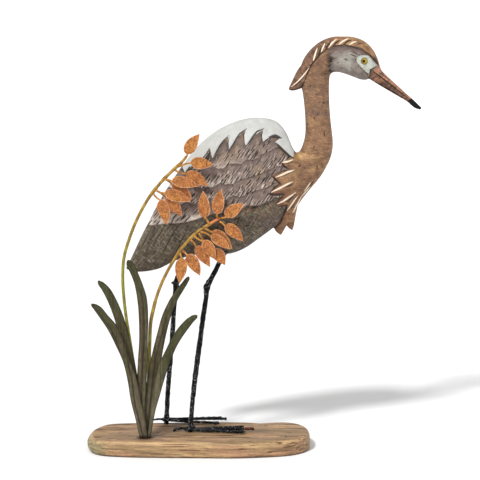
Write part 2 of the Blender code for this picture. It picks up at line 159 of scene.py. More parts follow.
CAP = (
    (123, 438.5), (126.5, 444.5), (128.5, 450.5), (132, 457.5), (134.5, 463.5), (138, 470.5),
    (143.5, 476.5), (149.5, 481), (155.5, 484), (161.5, 486.5), (173.5, 487), (185, 486), (194.5, 483),
    (199.5, 477.5), (205.5, 471.5), (210.5, 465.5), (213.5, 461.5), (222, 466), (222, 520), (90, 520),
    (90, 428), (112, 433), (120, 436),
)
CHEEK = (
    (160, 448), (156, 456), (153.5, 462.5), (157, 469.5), (153, 475.5), (158, 484), (170, 500),
    (225, 500), (225, 440),
)
EYE_RING = (
    (187, 469), (188.5, 473), (192, 475), (196, 475.5), (200, 474.5), (203.5, 472), (206.5, 468),
    (210, 463), (207.5, 460), (203.5, 457.5), (202, 453.5), (198.5, 455.5), (195.5, 459), (192.5, 462),
    (189.5, 464.5),
)
BILL = (
    (214, 461.5), (209, 459.5), (204.5, 458), (203.5, 452.5), (203, 447), (203, 436), (280, 395),
    (280, 420), (222, 470),
)
BILL_TOP = (
    (200, 461), (204.5, 458), (215.5, 450), (228, 440.5), (240, 431), (251, 422.5), (268, 409),
    (280, 420), (222, 475),
)
BILL_TIP = ((254, 424), (250.5, 421.5), (248.5, 419), (250, 400), (285, 395), (275, 430))

# Rows of feather ends across the wing, from the mantle down to the wing's lower edge, each with rising x.
FEATHER_ROWS = (
    (
        (-30, 325), (-14, 336), (-3, 349), (16.5, 354), (36.5, 364), (57.5, 369), (77, 373.5),
        (90, 372.5), (112, 354),
    ),
    (
        (-50, 335), (-8, 340), (0, 338), (8, 343.5), (15, 345), (19, 343.5), (24, 341.5), (28.5, 341.5),
        (32, 343.5), (35.5, 346), (39, 347.5), (45, 347), (51, 347.5), (55, 350.5), (58, 352.5),
        (61.5, 352), (65, 352), (68.5, 353.5), (72, 355), (74.5, 358.5), (83, 361.5), (92, 366),
    ),
    (
        (-70, 318), (-28, 317), (-20, 321), (-13, 318), (-5, 321), (2, 319.5), (5.5, 318.5), (11, 320.5),
        (15.5, 319.5), (21.5, 322), (26.5, 325), (30, 323), (41.5, 323.5), (45, 326.5), (49, 328.5),
        (60.5, 331.5), (65, 333), (72, 334.5), (79, 338), (92, 344),
    ),
    (
        (-90, 298), (-40, 297), (-32, 300.5), (-24, 297.5), (-15, 302), (-8, 300), (1.5, 300.5),
        (6.5, 303.5), (12.5, 306), (23, 305.5), (28, 303), (31.5, 304), (35.5, 307.5), (41.5, 309.5),
        (49, 307.5), (55, 310), (59, 313.5), (65, 314.5), (80, 318.5), (92, 325),
    ),
    (
        (-90, 272), (-60, 272.5), (-51.5, 273), (-42.5, 275.5), (-34, 276.5), (-18.5, 278), (-2, 281.5),
        (5.5, 284.5), (11, 286.5), (18.5, 289.5), (35, 291), (49, 293.5), (54.5, 296), (58.5, 298),
        (70.5, 298.5), (78, 301), (88, 305.5),
    ),
)

# Single strokes of the burning iron and the brush, and painted shadow lines, as width and points, each
# thinning to its ends.
BURNT_AND_SHADOW_STROKES = (
    (1.9, ((-17, 334), (-13.5, 339), (-10, 344))),
    (1.2, ((-4, 349), (4, 352.5), (9, 358.5), (13, 366))),
    (1.5, ((16.5, 353.5), (20.5, 360.5), (24.5, 367.5), (29, 374), (36, 381))),
    (1.9, ((36, 364), (41, 370.5), (45.5, 378), (49, 383), (57, 388.5))),
    (2.2, ((56.5, 368.5), (61, 374.5), (66, 381.5), (69.5, 385.5), (77.5, 388.5))),
    (1.2, ((36.5, 379), (35, 372), (36, 365))),
    (1.2, ((56, 387), (53.5, 381), (54.5, 372))),
    (1.2, ((76.5, 386.5), (74.5, 380), (76.5, 373.5))),
    (1.2, ((76, 372.5), (82.5, 377), (89.5, 380))),
    (4.0, ((84, 379), (91, 380), (98, 377.5))),
    (2.9, ((91, 372.5), (96, 368), (100, 363.5), (108, 356.5), (113, 353.5))),
    (2.4, ((98, 349), (102, 344), (107, 341))),
    (1.0, ((106.5, 340.5), (99, 338.5), (90, 335.5))),
    (2.4, ((87, 333.5), (92, 328), (97.5, 323.5))),
    (1.6, ((97, 324), (90.5, 319.5), (84, 312))),
    (3.0, ((83.5, 311.5), (90.5, 310.5), (102, 311))),
    (1.6, ((101.5, 310.5), (96.5, 305), (91.5, 298.5))),
    (1.2, ((95, 295.5), (100.5, 296.5), (105, 297))),
    (2.6, ((105.5, 297.5), (103.5, 290), (100.5, 283))),
    (1.9, ((101.5, 285), (98, 275), (94, 271), (90.5, 267.5))),
    # The next seven strokes are thin dark lines beside the breast's cream strokes, painted as the shadow
    # along each stroke's lower side.
    (1.0, ((101, 347.5), (107, 348.5), (112.5, 350))),
    (1.0, ((94, 330.3), (101, 333.3), (113, 337.6))),
    (1.5, ((101, 318.5), (108.5, 321), (114, 323.7))),
    (1.1, ((97, 298.6), (104, 302.3), (115.5, 310.4))),
    (1.0, ((108.5, 290.5), (114, 297.5), (119.5, 305.5))),
    (1.5, ((105, 300), (111, 306), (114, 311))),
    (1.3, ((126, 311), (132, 318.5), (138, 326))),
    (1.8, ((125, 442), (128.5, 451.5), (131.5, 459), (134, 464), (139, 470), (145, 477), (151, 481),
           (155.5, 484.5))),
    (1.1, ((152, 483), (162.5, 486), (172.5, 487.5), (178.5, 486), (185.5, 483.5), (192.5, 481),
           (200, 477.5))),
    (2.1, ((196, 479.8), (203.5, 475), (208.5, 469), (213.5, 462.5))),
    (1.2, ((207, 474.5), (211, 469), (214, 463))),
    (2.0, ((108.5, 433.8), (113, 433), (118, 434), (123, 437.5), (125, 443))),
    (2.2, ((150, 482), (153, 486.5), (156.5, 491.5))),
    (2.1, ((159, 485.5), (162.5, 489.5), (167.5, 493))),
    (2.0, ((171.5, 487.5), (176.5, 491.5), (181.5, 493))),
    (2.1, ((141, 471), (143, 478), (145, 483.5))),
    (1.8, ((132, 459), (134, 464), (136, 468))),
    (1.1, ((186.5, 486.5), (190, 488.5), (194, 488.5))),
    (1.1, ((114, 438), (120, 443.5), (127, 452.5))),
    (1.2, ((178.5, 476.5), (182.5, 475), (187.5, 473))),
    (1.0, ((181.5, 479), (186.5, 477), (190.5, 474.8))),
    (0.9, ((185, 472), (186, 469), (187.8, 465.5))),
    (1.3, ((172, 470), (174, 470.7), (176.5, 468.5))),
    (1.2, ((164, 466), (166, 466.5))),
    (1.1, ((168.5, 460), (170.5, 459))),
    (1.0, ((180, 460.3), (182, 459.3))),
    (0.9, ((188.8, 463.8), (190.3, 461.8))),
    (0.9, ((191, 461), (193.2, 458.8))),
    (1.1, ((193, 458.7), (196.5, 455.5), (200, 453.5), (201.5, 449.5), (203, 446.5))),
    (1.4, ((212, 461.5), (206.5, 459), (204, 457.5), (203.5, 453), (203, 446.5))),
    (1.7, ((204, 458.5), (215.5, 450), (228, 440.5), (240, 431), (253, 421.5))),
    (1.2, ((205, 446), (215, 440.8), (227, 434), (239.5, 426.7), (251, 420))),
    (1.0, ((214, 455.5), (222, 449.3), (229, 444))),
    (1.5, ((132, 437.5), (133.3, 440))),
    (1.5, ((147.3, 420), (149.3, 417.8))),
    (1.3, ((149, 454), (150.8, 452.3))),
    (1.2, ((137, 402), (138, 398.5))),
    (1.2, ((149.5, 385), (149.5, 379.5))),
    (1.4, ((136.3, 365), (138.5, 368))),
    (1.5, ((118, 343.3), (122.3, 345.2))),
    (1.1, ((141, 340), (142, 345))),
    (1.0, ((133, 424), (135.5, 424.6))),
    (0.9, ((128.5, 392), (131, 393.2))),
    (1.1, ((-40, 274), (-49, 258), (-59, 243))),
    (1.1, ((-25, 274), (-34.5, 256), (-47, 233))),
    (1.0, ((-10, 276), (-20, 256), (-30, 235))),
    (0.9, ((-55, 272), (-64, 255), (-71, 242))),
    (0.9, ((8, 282), (-3, 258), (-11, 240))),
    (0.9, ((28, 287), (19, 262), (12, 242))),
    (1.0, ((50, 290), (43, 270), (36, 250))),
    (0.9, ((74, 292), (66, 277), (58, 262))),
    (2.8, ((62.5, 294.3), (66, 296), (70, 296.5))),
    (1.9, ((41, 281), (47, 283))),
    (1.5, ((55, 273), (61, 274))),
)
CREAM_STROKES = (
    (2.4, ((99, 348.9), (105, 349.6), (112, 351.8))),
    (2.5, ((91.5, 331.5), (100.5, 335), (106, 337.5), (113.5, 339.5))),
    (2.4, ((86.5, 313.8), (95.5, 318), (103.5, 322), (111.5, 325.5))),
    (2.5, ((93.5, 299.2), (100.5, 302.2), (107.5, 306.7), (115.5, 312.3))),
    (1.8, ((105.5, 290), (110.5, 297), (114.5, 303), (118.5, 308))),
    (1.7, ((112.5, 287), (116, 293.5), (119, 299), (122.3, 306))),
    (1.5, ((126, 312.5), (129.5, 317.5), (134, 324))),
    (1.5, ((110.5, 437.5), (117, 443), (123.5, 450), (131, 460))),
    (1.8, ((135.8, 468.5), (138, 476), (140.6, 483.5))),
    (1.5, ((145, 478.3), (147, 483.5), (149.7, 489.3))),
    (1.6, ((153.7, 483.7), (158, 489.5), (163.3, 493.8))),
    (1.6, ((166, 487.7), (171.5, 492), (177.5, 494.6))),
    (1.5, ((178, 487.3), (182.5, 490), (187.5, 491.1))),
    (1.3, ((122, 306), (128, 312), (133, 318))),
)
RUST_STROKES = (
    (1.6, ((51.5, 384), (52, 379), (53, 374))),
    (1.5, ((72, 384), (73, 379), (74.5, 373))),
    (1.2, ((33, 378), (32.5, 374))),
    (2.2, ((57.5, 291.8), (61.5, 292.8))),
    (2.2, ((194.5, 484), (199.5, 479.8), (205.5, 474.3))),
    (1.6, ((128.5, 448), (132.5, 457.5), (137, 465.5), (144, 473.5))),
)

EYE_CENTRE = (196.3, 468.0)
PUPIL_SHIFT = 0.7

# Rings of a glass eye, as share of its radius and depth behind its front.
EYE_PROFILE = (
    (0.97, 2.8), (1.0, 1.9), (1.0, 1.35), (0.95, 0.95), (0.86, 0.62), (0.74, 0.38), (0.6, 0.2),
    (0.45, 0.06), (0.3, -0.03), (0.16, -0.08), (0.05, -0.1),
)

# The belly's long cuts: degrees, width, length and seed.
BELLY_CUTS = (52, 4.2, 17.0, 25)

# Route of each leg's rod as (x, y, z, radius), and its toes.
RIGHT_LEG_ROD = (
    (-10.5, -5.5, 21.5, 2.6), (-10.5, -5.2, 27, 3.4), (-10.3, -4.8, 36, 2.6), (-7.6, -3.5, 66, 2.7),
    (-4, -2.5, 96, 3), (0.2, -2, 127, 3), (4.2, -1.5, 157, 2.8), (8.2, -1, 184, 2.7), (9, -1, 193, 3.2),
    (10.3, -0.8, 199, 3.6), (13.5, -0.5, 206, 2.8), (22.5, 0.5, 223, 2.6), (32.5, 1.5, 242, 2.7),
    (38.5, 2, 253, 2.7),
)
RIGHT_TOES = (
    ((-11, -5.5, 23), (20, 3, 22.9), (53, 10, 22.6)),
    ((-11, -5.5, 23), (27, -4.5, 23), (60, -2.5, 23), (65, -2, 22.6)),
    ((-11, -5.5, 23), (20, -12, 22.7), (47, -16.5, 22.6), (54, -17, 23.2)),
    ((-11, -5.5, 24), (-22, -4.8, 24), (-28, -5.2, 23.2), (-31.5, -6, 21.8)),
)
LEFT_LEG_ROD = (
    (-42, 36, 16, 2.6), (-42, 36, 22, 2.6), (-42, 36, 26, 3.5), (-41.5, 36, 34, 2.6),
    (-40.3, 35.5, 56, 2.7), (-38.3, 35, 82, 2.7), (-36, 34.5, 107, 2.7), (-33.7, 34, 138, 2.7),
    (-31.5, 33.5, 169, 2.7), (-29.8, 33, 188, 2.7), (-29.5, 33, 193, 3.2), (-28.3, 32.8, 199, 3.5),
    (-25.5, 32.3, 206, 2.8), (-16, 31, 224, 2.7), (-6, 29.5, 243, 2.7), (-2, 29, 251, 2.7),
)
LEFT_TOES = (
    ((-42, 36, 25), (-10, 41, 24.9), (25, 48, 24.6)),
    ((-42, 36, 24.8), (-5, 38.5, 24.8), (26, 40, 24.8), (32.5, 40, 24.4)),
    ((-42, 36, 24.6), (-20, 30, 23.9), (12, 25.2, 23.6), (22, 24.5, 23.4)),
    ((-42, 36, 25), (-50, 35.8, 25.3), (-58.5, 35.5, 24.6)),
)

# How much the enamel thickens a rod, and the radii along a toe of four or three points.
ENAMEL_THICKNESS = 0.35
TOE_SIZES = {4: (2.2, 1.65, 1.8, 1.9), 3: (2.0, 1.5, 1.2)}

# Lumps of weld on each leg: centre and radii.
RIGHT_WELDS = (
    ((-11, -5.5, 23.2), (8.5, 5.0, 2.9)), ((-9, -6, 26), (4.2, 4.0, 3.4)),
    ((7.2, -1.6, 198), (2.4, 2.6, 3.4)), ((11.5, -1, 203.5), (3.4, 3.2, 3.6)),
    ((52.5, -16.8, 23.4), (3.2, 2.6, 2.7)),
)
LEFT_WELDS = (
    ((-42, 36, 24.6), (6.0, 4.2, 3.0)), ((-32.5, 33, 197), (2.6, 2.4, 1.7)),
    ((-28.5, 33, 203), (2.0, 2.2, 3.0)), ((-28.3, 33, 192), (3.2, 3.0, 3.8)),
    ((19, 24.8, 23.2), (3.0, 2.4, 2.2)),
)

BOARD_OUTLINE = (
    (-136.5, -6), (-133, -29), (-118, -44), (-84, -51), (-40, -54), (2, -55), (50, -55.5), (97, -48),
    (120, -37), (132, -20), (135, 0), (132, 21), (124, 37), (108, 45.5), (88, 44.5), (74, 42), (60, 45),
    (27, 47), (-10, 46), (-50, 44), (-100, 41), (-120, 34), (-132.5, 16),
)

# The board's edge from its underside up, as height and how far it is drawn in.
BOARD_EDGE = (
    (0, 1.3), (0.5, 0.5), (1.6, 0.1), (3.5, 0), (9, 0), (14, 0.2), (17, 0.9), (18.8, 2.1), (19.7, 3.8),
    (20, 6), (20, 12),
)

# Knots as (x, y, radius), and the holes in the board's top.
BOARD_KNOTS = ((104.5, -28.5, 1.6), (81, 27, 2.2), (-92, 8, 1.2), (38, -47, 1.0))
GRASS_HOLE = (-65.0, -30.9)
GRASS_HOLE_ACROSS = (17.5, 15.0)
LEG_HOLE = (-42, 36)
LEG_HOLE_ACROSS = (6.4, 6.4)
HOLE_HEIGHTS = (14.0, 26.0)

# Each blade's layer, how far its tip leans, and its edges from foot to tip as left (x, z), right (x, z).
GRASS_BLADES = {
    "grass_blade_outer_left": (-35.5, -9, (
        ((-70.5, 18), (-61.5, 18)), ((-75.6, 42), (-65, 43)), ((-81.2, 66), (-70, 68)),
        ((-84.8, 91), (-74.8, 95)), ((-90, 114), (-82.6, 116)), ((-98.3, 134), (-89.2, 139)),
        ((-106.7, 152), (-96.3, 157.5)),
        ((-116, 167), (-107, 171)), ((-123, 177.5), (-115, 181)), ((-127.5, 184), (-124, 186)),
    )),
    "grass_blade_outer_right": (-33.2, -8, (
        ((-62.5, 18), (-58.3, 18)), ((-57.8, 49), (-52.6, 50)), ((-54.9, 71), (-46.5, 72)),
        ((-51, 93), (-40.5, 93)), ((-45.8, 113), (-34.3, 112)), ((-38.5, 129), (-27, 130)),
        ((-31.5, 143.5), (-20, 142.5)),
        ((-24, 155), (-13.5, 152)), ((-15, 165), (-6.5, 161.5)), ((-8, 170), (-2, 166.5)),
        ((-3.2, 172), (0, 169.5)),
    )),
    "grass_blade_centre": (-30.9, 3, (
        ((-70, 18), (-60.5, 18)), ((-72, 53), (-64.6, 53)), ((-73.8, 84), (-62.8, 84)),
        ((-72.8, 112), (-61.2, 112)), ((-71, 138), (-60.8, 138)), ((-71.2, 165), (-60, 165)),
        ((-72.8, 186.5), (-61.3, 188)), ((-76.2, 206), (-66, 204.5)), ((-81, 219), (-71, 217.5)),
        ((-84.5, 226), (-75, 227.5)), ((-86.5, 233), (-81, 236)),
    )),
    "grass_blade_inner_left": (-28.6, 5, (
        ((-71, 18), (-62, 18)), ((-75.7, 46), (-64.3, 49)), ((-80.3, 71), (-69.5, 75)),
        ((-85, 95), (-74.6, 99)), ((-91, 123), (-80, 127)), ((-95.7, 144), (-84.4, 147.5)),
        ((-101, 164.5), (-89.5, 165.5)), ((-108, 183.5), (-96, 182)), ((-114.7, 197), (-103.7, 197)),
        ((-119, 203.5), (-110.7, 205)), ((-121, 209), (-117, 209.5)),
    )),
    "grass_blade_inner_right": (-26.3, 3, (
        ((-69, 18), (-59.5, 18)), ((-67, 50), (-55.5, 49.5)), ((-64.5, 74), (-51, 73)),
        ((-60.3, 101), (-47, 98.5)), ((-55, 125), (-42.8, 125)), ((-49.3, 147), (-38.3, 147)),
        ((-43.8, 166.5), (-33.3, 165.5)), ((-35.7, 184.2), (-25.8, 184.2)),
        ((-27.6, 197), (-18.5, 196.8)), ((-20.5, 206), (-13.4, 205.4)), ((-13.3, 215), (-9.6, 212.6)),
    )),
}
BLADE_FOOT = 18.0

# Each blade's crease as (share along, share across, darkness), how much of the brown middle shows to the
# left and right of it, and how dark the blade's left and right rims are.
# The darkness is painted shade along each fold; on the outer left blade the crease's dark line also
# stands in for the shadowed boundary with the inner left blade.
BLADE_CREASES = {
    "grass_blade_outer_left": (
        ((0, 0.5, 1), (0.1, 0.4, 1), (0.2, 0.35, 1), (0.3, 0.4, 1), (0.4, 0.47, 1), (0.5, 0.6, 1),
         (0.56, 0.78, 0.8), (0.57, 0.78, 0), (0.6, 0.14, 0), (0.61, 0.14, 0.8), (0.7, 0.28, 1),
         (0.8, 0.32, 0.9), (0.9, 0.3, 0.6), (1, 0.3, 0.2)),
        (0.15, 0.75), (0.9, 0.1)),
    "grass_blade_outer_right": (((0, 0.5, 0), (1, 0.5, 0)), (0.0, 0.1), (0.2, 0.9)),
    "grass_blade_centre": (
        ((0, 0.5, 0.9), (0.4, 0.5, 1), (0.6, 0.58, 1), (0.8, 0.5, 0.7), (1, 0.4, 0.2)),
        (0.9, 0.2), (0.9, 0.7)),
    "grass_blade_inner_left": (((0, 0.5, 0), (1, 0.5, 0)), (0.75, 0.6), (0.3, 0.9)),
    "grass_blade_inner_right": (
        ((0, 0.72, 0.9), (0.1, 0.68, 0.9), (0.2, 0.6, 1), (0.3, 0.53, 1), (0.4, 0.47, 1), (0.5, 0.44, 1),
         (0.6, 0.52, 1), (0.7, 0.52, 0.8), (0.9, 0.5, 0.4), (1, 0.5, 0.2)),
        (0.7, 0.35), (0.6, 0.5)),
}

# Route of each flower stem as (x, y, z).
STEMS = {
    "tall_stem": (
        (-67, -22.3, 18), (-69, -22.3, 45), (-73, -22.3, 76), (-79, -22.3, 113), (-83.5, -22.3, 143),
        (-87, -22.5, 167), (-89.3, -22.8, 190), (-90.3, -23, 212), (-88.7, -23.3, 236),
        (-82.5, -23.3, 258), (-73.5, -23.3, 281), (-60, -23.3, 306), (-45.5, -23.3, 325),
        (-33, -23.3, 338), (-20, -23.3, 350), (-14.2, -23.3, 357),
    ),
    "low_stem": (
        (-62.3, -22.3, 18), (-61.3, -22.3, 64), (-60, -22.3, 100), (-59, -22.3, 131), (-57.6, -22.4, 157),
        (-54, -22.7, 175), (-50, -23, 190), (-44, -23.2, 206), (-36.5, -23.3, 221.5), (-28, -23.3, 236),
        (-22, -23.3, 245.5), (-14, -23.3, 255), (-4, -23.3, 265), (8, -23.3, 273.5), (20, -23.3, 281),
        (25, -23.3, 284),
    ),
}

# The low stem's foot is thicker, up to a height.
LOW_STEM_SWELL = 0.3
LOW_STEM_SWELL_TOP = 185

# Leaves as petiole start, blade base and tip, each (x, z), then layer (0 behind, 2 in front), how far
# the blade bows toward its fuller side, and how light its orange is.
LEAVES = {
    "tall_stem": (
        ((-14.4, 356.5), (-12.6, 360), (1.7, 384), 1, 1.8, 0.6),
        ((-22.5, 345.3), (-8.4, 349.9), (17.5, 347.5), 1, 0.8, 0.3),
        ((-27.6, 341.5), (-14.3, 336.9), (11.5, 322.7), 0, 1.5, 0.2),
        ((-39.3, 330.4), (-30.9, 328.6), (0.9, 322.7), 2, 1.5, 0.3),
        ((-50, 317.5), (-39.2, 314.4), (-8.6, 304.9), 2, 1.1, -0.1),
        ((-38.6, 330.2), (-30.9, 323.9), (-7.4, 306.7), 0, 1.5, -0.6),
        ((-53, 313.3), (-45.1, 306.1), (-37.1, 277), 1, 1.2, 0.3),
        ((-49.4, 317.3), (-38.1, 307.3), (-19.9, 287.1), 0, 1.5, -0.5),
    ),
    "low_stem": (
        ((12.4, 277.3), (7.9, 285.3), (5.6, 316.8), 1, 0.2, 0.2),
        ((22.4, 285.3), (22, 289.5), (26.8, 319.1), 1, 0.5, 0.3),
        ((27.4, 284.6), (32.7, 285.9), (53.9, 301.4), 1, 1.5, 0.7),
        ((25.2, 280.4), (31.5, 275.2), (52.8, 257.3), 1, 1.6, -0.3),
        ((7.9, 272.6), (16.1, 268), (39.7, 247.7), 0, 1.5, -0.2),
        ((1.7, 268.4), (14.9, 263.2), (37.4, 247.7), 2, 1.5, 0.2),
        ((-5, 263.6), (5.4, 257.3), (19.6, 235.7), 2, 1.2, 0.3),
        ((-9.3, 258.7), (-2.9, 250.1), (13.6, 226.1), 0, 1.2, -0.6),
        ((0.6, 266.6), (18.4, 246.5), (31.4, 228.5), 0, 1.0, -0.5),
        ((-18.8, 244.9), (-13.6, 240.5), (1.7, 215.9), 1, 1.5, -0.4),
        ((-21.6, 242.9), (-19.7, 236.9), (-22.6, 206.9), 1, 0.2, 0.0),
    ),
}
PETIOLE_START_Y = (-25.9, -26.1, -27.6)
LEAF_LAYER_Y = (-26.4, -27.9, -29.9)
NARROW_LEAVES = {"low_stem_leaf_6": 0.86, "tall_stem_leaf_4": 0.95}
LEAF_PROFILE = (
    (0.0, 0.14), (0.03, 0.42), (0.1, 0.72), (0.22, 0.94), (0.36, 1.0), (0.5, 0.95), (0.64, 0.79),
    (0.78, 0.55), (0.9, 0.28), (0.97, 0.12), (1.0, 0.04),
)

CAMERA_PLACE = (0.0492, -1.9805, 0.5329)
CAMERA_TARGET = (0.0492, 0.0, 0.2546)
CAMERA_LENS = 125.0
FLOOR_RADIUS = 4.6
FLOOR_RISE = 2.0
FLOOR_DROP = 0.0002
KEY_FROM = (-0.5, -0.75, 1.0)


def chart(red, green, blue):
    """A colour as on a paint chart, each part from 0 to 255, in Blender's linear values."""
    parts = [value / 255 for value in (red, green, blue)]
    return tuple(p / 12.92 if p <= 0.04045 else ((p + 0.055) / 1.055) ** 2.4 for p in parts)


def colour(name, description, red, green, blue):
    """A colour property."""
    return FloatVectorProperty(
        name=name, description=description, subtype="COLOR", size=3, min=0.0, max=1.0,
        default=chart(red, green, blue),
    )


def length(name, description, millimetres):
    """A length property."""
    return FloatProperty(
        name=name, description=description, default=millimetres * MM, min=0.0, unit="LENGTH")


class HeronSettings(PropertyGroup):
    voxel: length("Mesh step", "Edge length of the carved surface's fine mesh", 0.82)
    kept: FloatProperty(
        name="Faces kept", description="Share of the fine mesh's faces that is kept after carving",
        min=0.05, max=1.0, default=0.53,
    )
    relief: length("Relief", "How far the mantle stands above the wing", 1.1)
    gouge_spacing: length("Gouge spacing", "Distance between chisel cuts on the wing", 3.6)
    gouge_length: length("Gouge length", "Length of each chisel cut on the wing", 8.5)
    gouge_depth: length("Gouge depth", "Depth of each chisel cut on the wing", 0.5)
    mantle: colour("Mantle", "Off-white of the back", 204, 205, 202)
    mantle_shade: colour("Mantle shade", "Greyer smears on the back", 190, 190, 185)
    wing: colour("Wing", "Grey-brown of the wing", 134, 117, 108)
    wing_warm: colour("Warm wing", "Tan brown at the front of the wing", 143, 122, 100)
    wing_shade: colour("Wing shade", "Purple-grey between the feather rows", 100, 84, 81)
    chalk: colour("Chalk", "Dry-brushed highlights on the wing", 206, 192, 180)
    # The cut colour also paints the shadow under each feather row's lip.
    cut: colour("Cut", "Dark brown in the chisel cuts", 46, 33, 29)
    belly: colour("Belly", "Olive grey of the belly and tail", 96, 87, 70)
    neck: colour("Neck", "Brown of the neck", 141, 107, 81)
    neck_low: colour("Lower neck", "Redder brown of the breast and plumes", 139, 101, 75)
    nape: colour("Nape", "Pale ochre where the neck meets the back", 196, 158, 108)
    plume_shade: colour("Plume shade", "Dark red brown between the breast plumes", 104, 62, 48)
    cap: colour("Cap", "Tan brown of the cap's front", 160, 120, 90)
    cap_shade: colour("Cap shade", "Purple brown of the cap's back and the crest", 116, 86, 70)
    cheek: colour("Cheek", "Grey of the cheek", 142, 131, 123)
    brow: colour("Brow", "Purple brown band under the cap", 108, 88, 82)
    eye_ring: colour("Eye ring", "White round the eye", 192, 195, 184)
    bill_top: colour("Upper bill", "Pinkish tan of the upper bill", 180, 130, 102)
    bill_bottom: colour("Lower bill", "Brown of the lower bill", 112, 78, 60)
    # The burnt colour also paints shade: on the body's undersides, along the silhouette rims of the neck,
    # head, cap and bill, under the mantle's points, under the wing's lower edge and toward the belly's
    # lower edge.
    burnt_and_shade: colour("Burnt line", "Dark brown of burnt lines and the bill's tip", 38, 28, 22)
    cream: colour("Cream", "Cream of the brushed feather strokes", 246, 228, 205)
    bill_tip: colour("Bill's tip", "Black of the bill's tip", 12, 11, 11)
    rust: colour("Rust", "Orange brown between the mantle's points", 156, 108, 66)


class EyeSettings(PropertyGroup):
    radius: length("Radius", "Radius of the glass eye", 3.7)
    pupil_radius: length("Pupil radius", "Radius of the pupil", 1.45)
    iris: colour("Iris", "Yellow of the iris", 198, 172, 52)
    iris_edge: colour("Iris edge", "Darker ring round the iris", 104, 82, 34)
    pupil: colour("Pupil", "Near-black of the pupil", 16, 8, 4)


class BoardSettings(PropertyGroup):
    voxel: length("Mesh step", "Edge length of the board's mesh", 1.25)
    light: colour("Early wood", "Lighter wood between the rings", 172, 141, 102)
    dark: colour("Late wood", "Darker wood of the rings", 132, 101, 70)
    # The top colour darkens and browns the top face.
    top: colour("Top", "Browner, weathered tone of the top", 146, 114, 84)
    pink: colour("Pink", "Pinkish patches in the wood", 166, 124, 96)
    grey: colour("Grey", "Greenish-grey patches in the wood", 138, 128, 94)
    # The rubbed colour is a painted highlight where the rounded edges turn toward the light.
    rubbed: colour("Rubbed edge", "Paler wood along the eased edges", 188, 158, 116)
    deep: colour("Cracks", "Brown of fine cracks along the grain", 92, 64, 40)
    # The stain colour also paints a contact shadow along the board's foot.
    stain: colour("Stain", "Dark stain round the grass's hole, the knots and the foot", 52, 34, 26)
    ring_width: length("Ring width", "Distance from ring to ring", 5.2)


class LegSettings(PropertyGroup):
    voxel: length("Mesh step", "Edge length of the legs' mesh", 0.55)
    hammer_depth: length("Hammer depth", "Depth of the hammered facets", 0.35)
    steel: colour("Enamel", "Black of the enamelled rods", 8, 8, 9)
    # This pale colour paints glints on the hammered facets.
    glint_specks: colour("Worn steel", "Silver where the enamel is rubbed through", 206, 208, 212)
    claw: colour("Claw", "Reddish brown of the middle claw", 86, 34, 26)


class GrassSettings(PropertyGroup):
    thickness: length("Thickness", "Thickness of a blade's sheet", 1.2)
    fold: length("Fold", "Height of a blade's crease", 1.0)
    olive: colour("Olive", "Olive of the blades", 71, 70, 44)
    middle: colour("Middle", "Brown grey along the middles", 82, 69, 50)
    edge: colour("Edge", "Dark olive of the edges", 32, 31, 18)
    # The dry colour also paints the blades paler toward their feet, as painted light against the shade
    # near the board.
    dry: colour("Dry streak", "Pale grey brown streaks along the blades", 116, 106, 86)
    # The crease colour is painted shade along each blade's fold.
    crease: colour("Crease", "Dark brown of the creases", 44, 32, 24)
    foot: colour("Foot", "Dark brown where the blades enter the board", 40, 26, 24)


class StemSettings(PropertyGroup):
    radius: length("Radius", "Radius of a stem's wire", 1.9)
    green: colour("Green", "Yellow green of the stems' feet", 142, 140, 38)
    ochre: colour("Ochre", "Ochre higher up", 180, 132, 54)
    # The same brown paints shade along each stem's flanks.
    shade: colour("Shade", "Brown in the rubbed hollows of the paint", 110, 74, 30)
    tip: colour("Tip", "Copper of the low stem's cut end", 196, 112, 58)
    petiole: colour("Petiole", "Copper ochre of the petioles", 192, 132, 58)


class LeafSettings(PropertyGroup):
    width: length("Width", "Width of a leaf at its widest", 14.4)
    thickness: length("Thickness", "Thickness of a leaf's sheet", 1.2)
    copper: colour("Copper", "Orange of the leaves", 197, 129, 73)
    deep: colour("Deep copper", "Redder orange of the darker leaves", 166, 96, 52)
    gold: colour("Gold", "Golden smears on the leaves", 198, 136, 62)
    # The rim colour is a painted highlight along the leaves' edges, strongest on their lower right sides.
    rim: colour("Rim", "Pale pinkish copper along a leaf's rim", 238, 186, 146)
    speck: colour("Speck", "Dark brown specks", 96, 44, 22)


class StageSettings(PropertyGroup):
    floor: colour("Floor", "Pale floor", 249, 249, 249)
    key: FloatProperty(name="Key light", description="Strength of the soft key light", default=2.5)
    key_spread: FloatProperty(
        name="Key spread", description="How wide the key light looks from the heron", subtype="ANGLE",
        default=math.radians(8),
    )
    fill: FloatProperty(name="Fill", description="Strength of the light from all round", default=0.54)


def settings_for(context, part):
    return getattr(context.scene, "heron_decoy_" + part)


def smoothstep(low, high, value):
    share = np.clip((value - low) / (high - low), 0.0, 1.0)
    return share * share * (3 - 2 * share)


def catmull_rom(rows, steps):
    """Pass a smooth curve through rows of numbers, in steps between each two."""
    rows = np.asarray(rows, float)
    padded = np.vstack([rows[:1], rows, rows[-1:]])
    before, start, end, after = padded[:-3], padded[1:-2], padded[2:-1], padded[3:]
    result = []
    for t in np.arange(steps) / steps:
        bend = 2 * before - 5 * start + 4 * end - after
        twist = 3 * start - before - 3 * end + after
        result.append(0.5 * (2 * start + (end - before) * t + bend * t**2 + twist * t**3))
    curve = np.stack(result, axis=1).reshape(-1, rows.shape[1])
    return np.vstack([curve, rows[-1:]])


NOISE_SIDE = 48
NOISE_TABLE = np.random.default_rng(11).random((NOISE_SIDE, NOISE_SIDE, NOISE_SIDE))


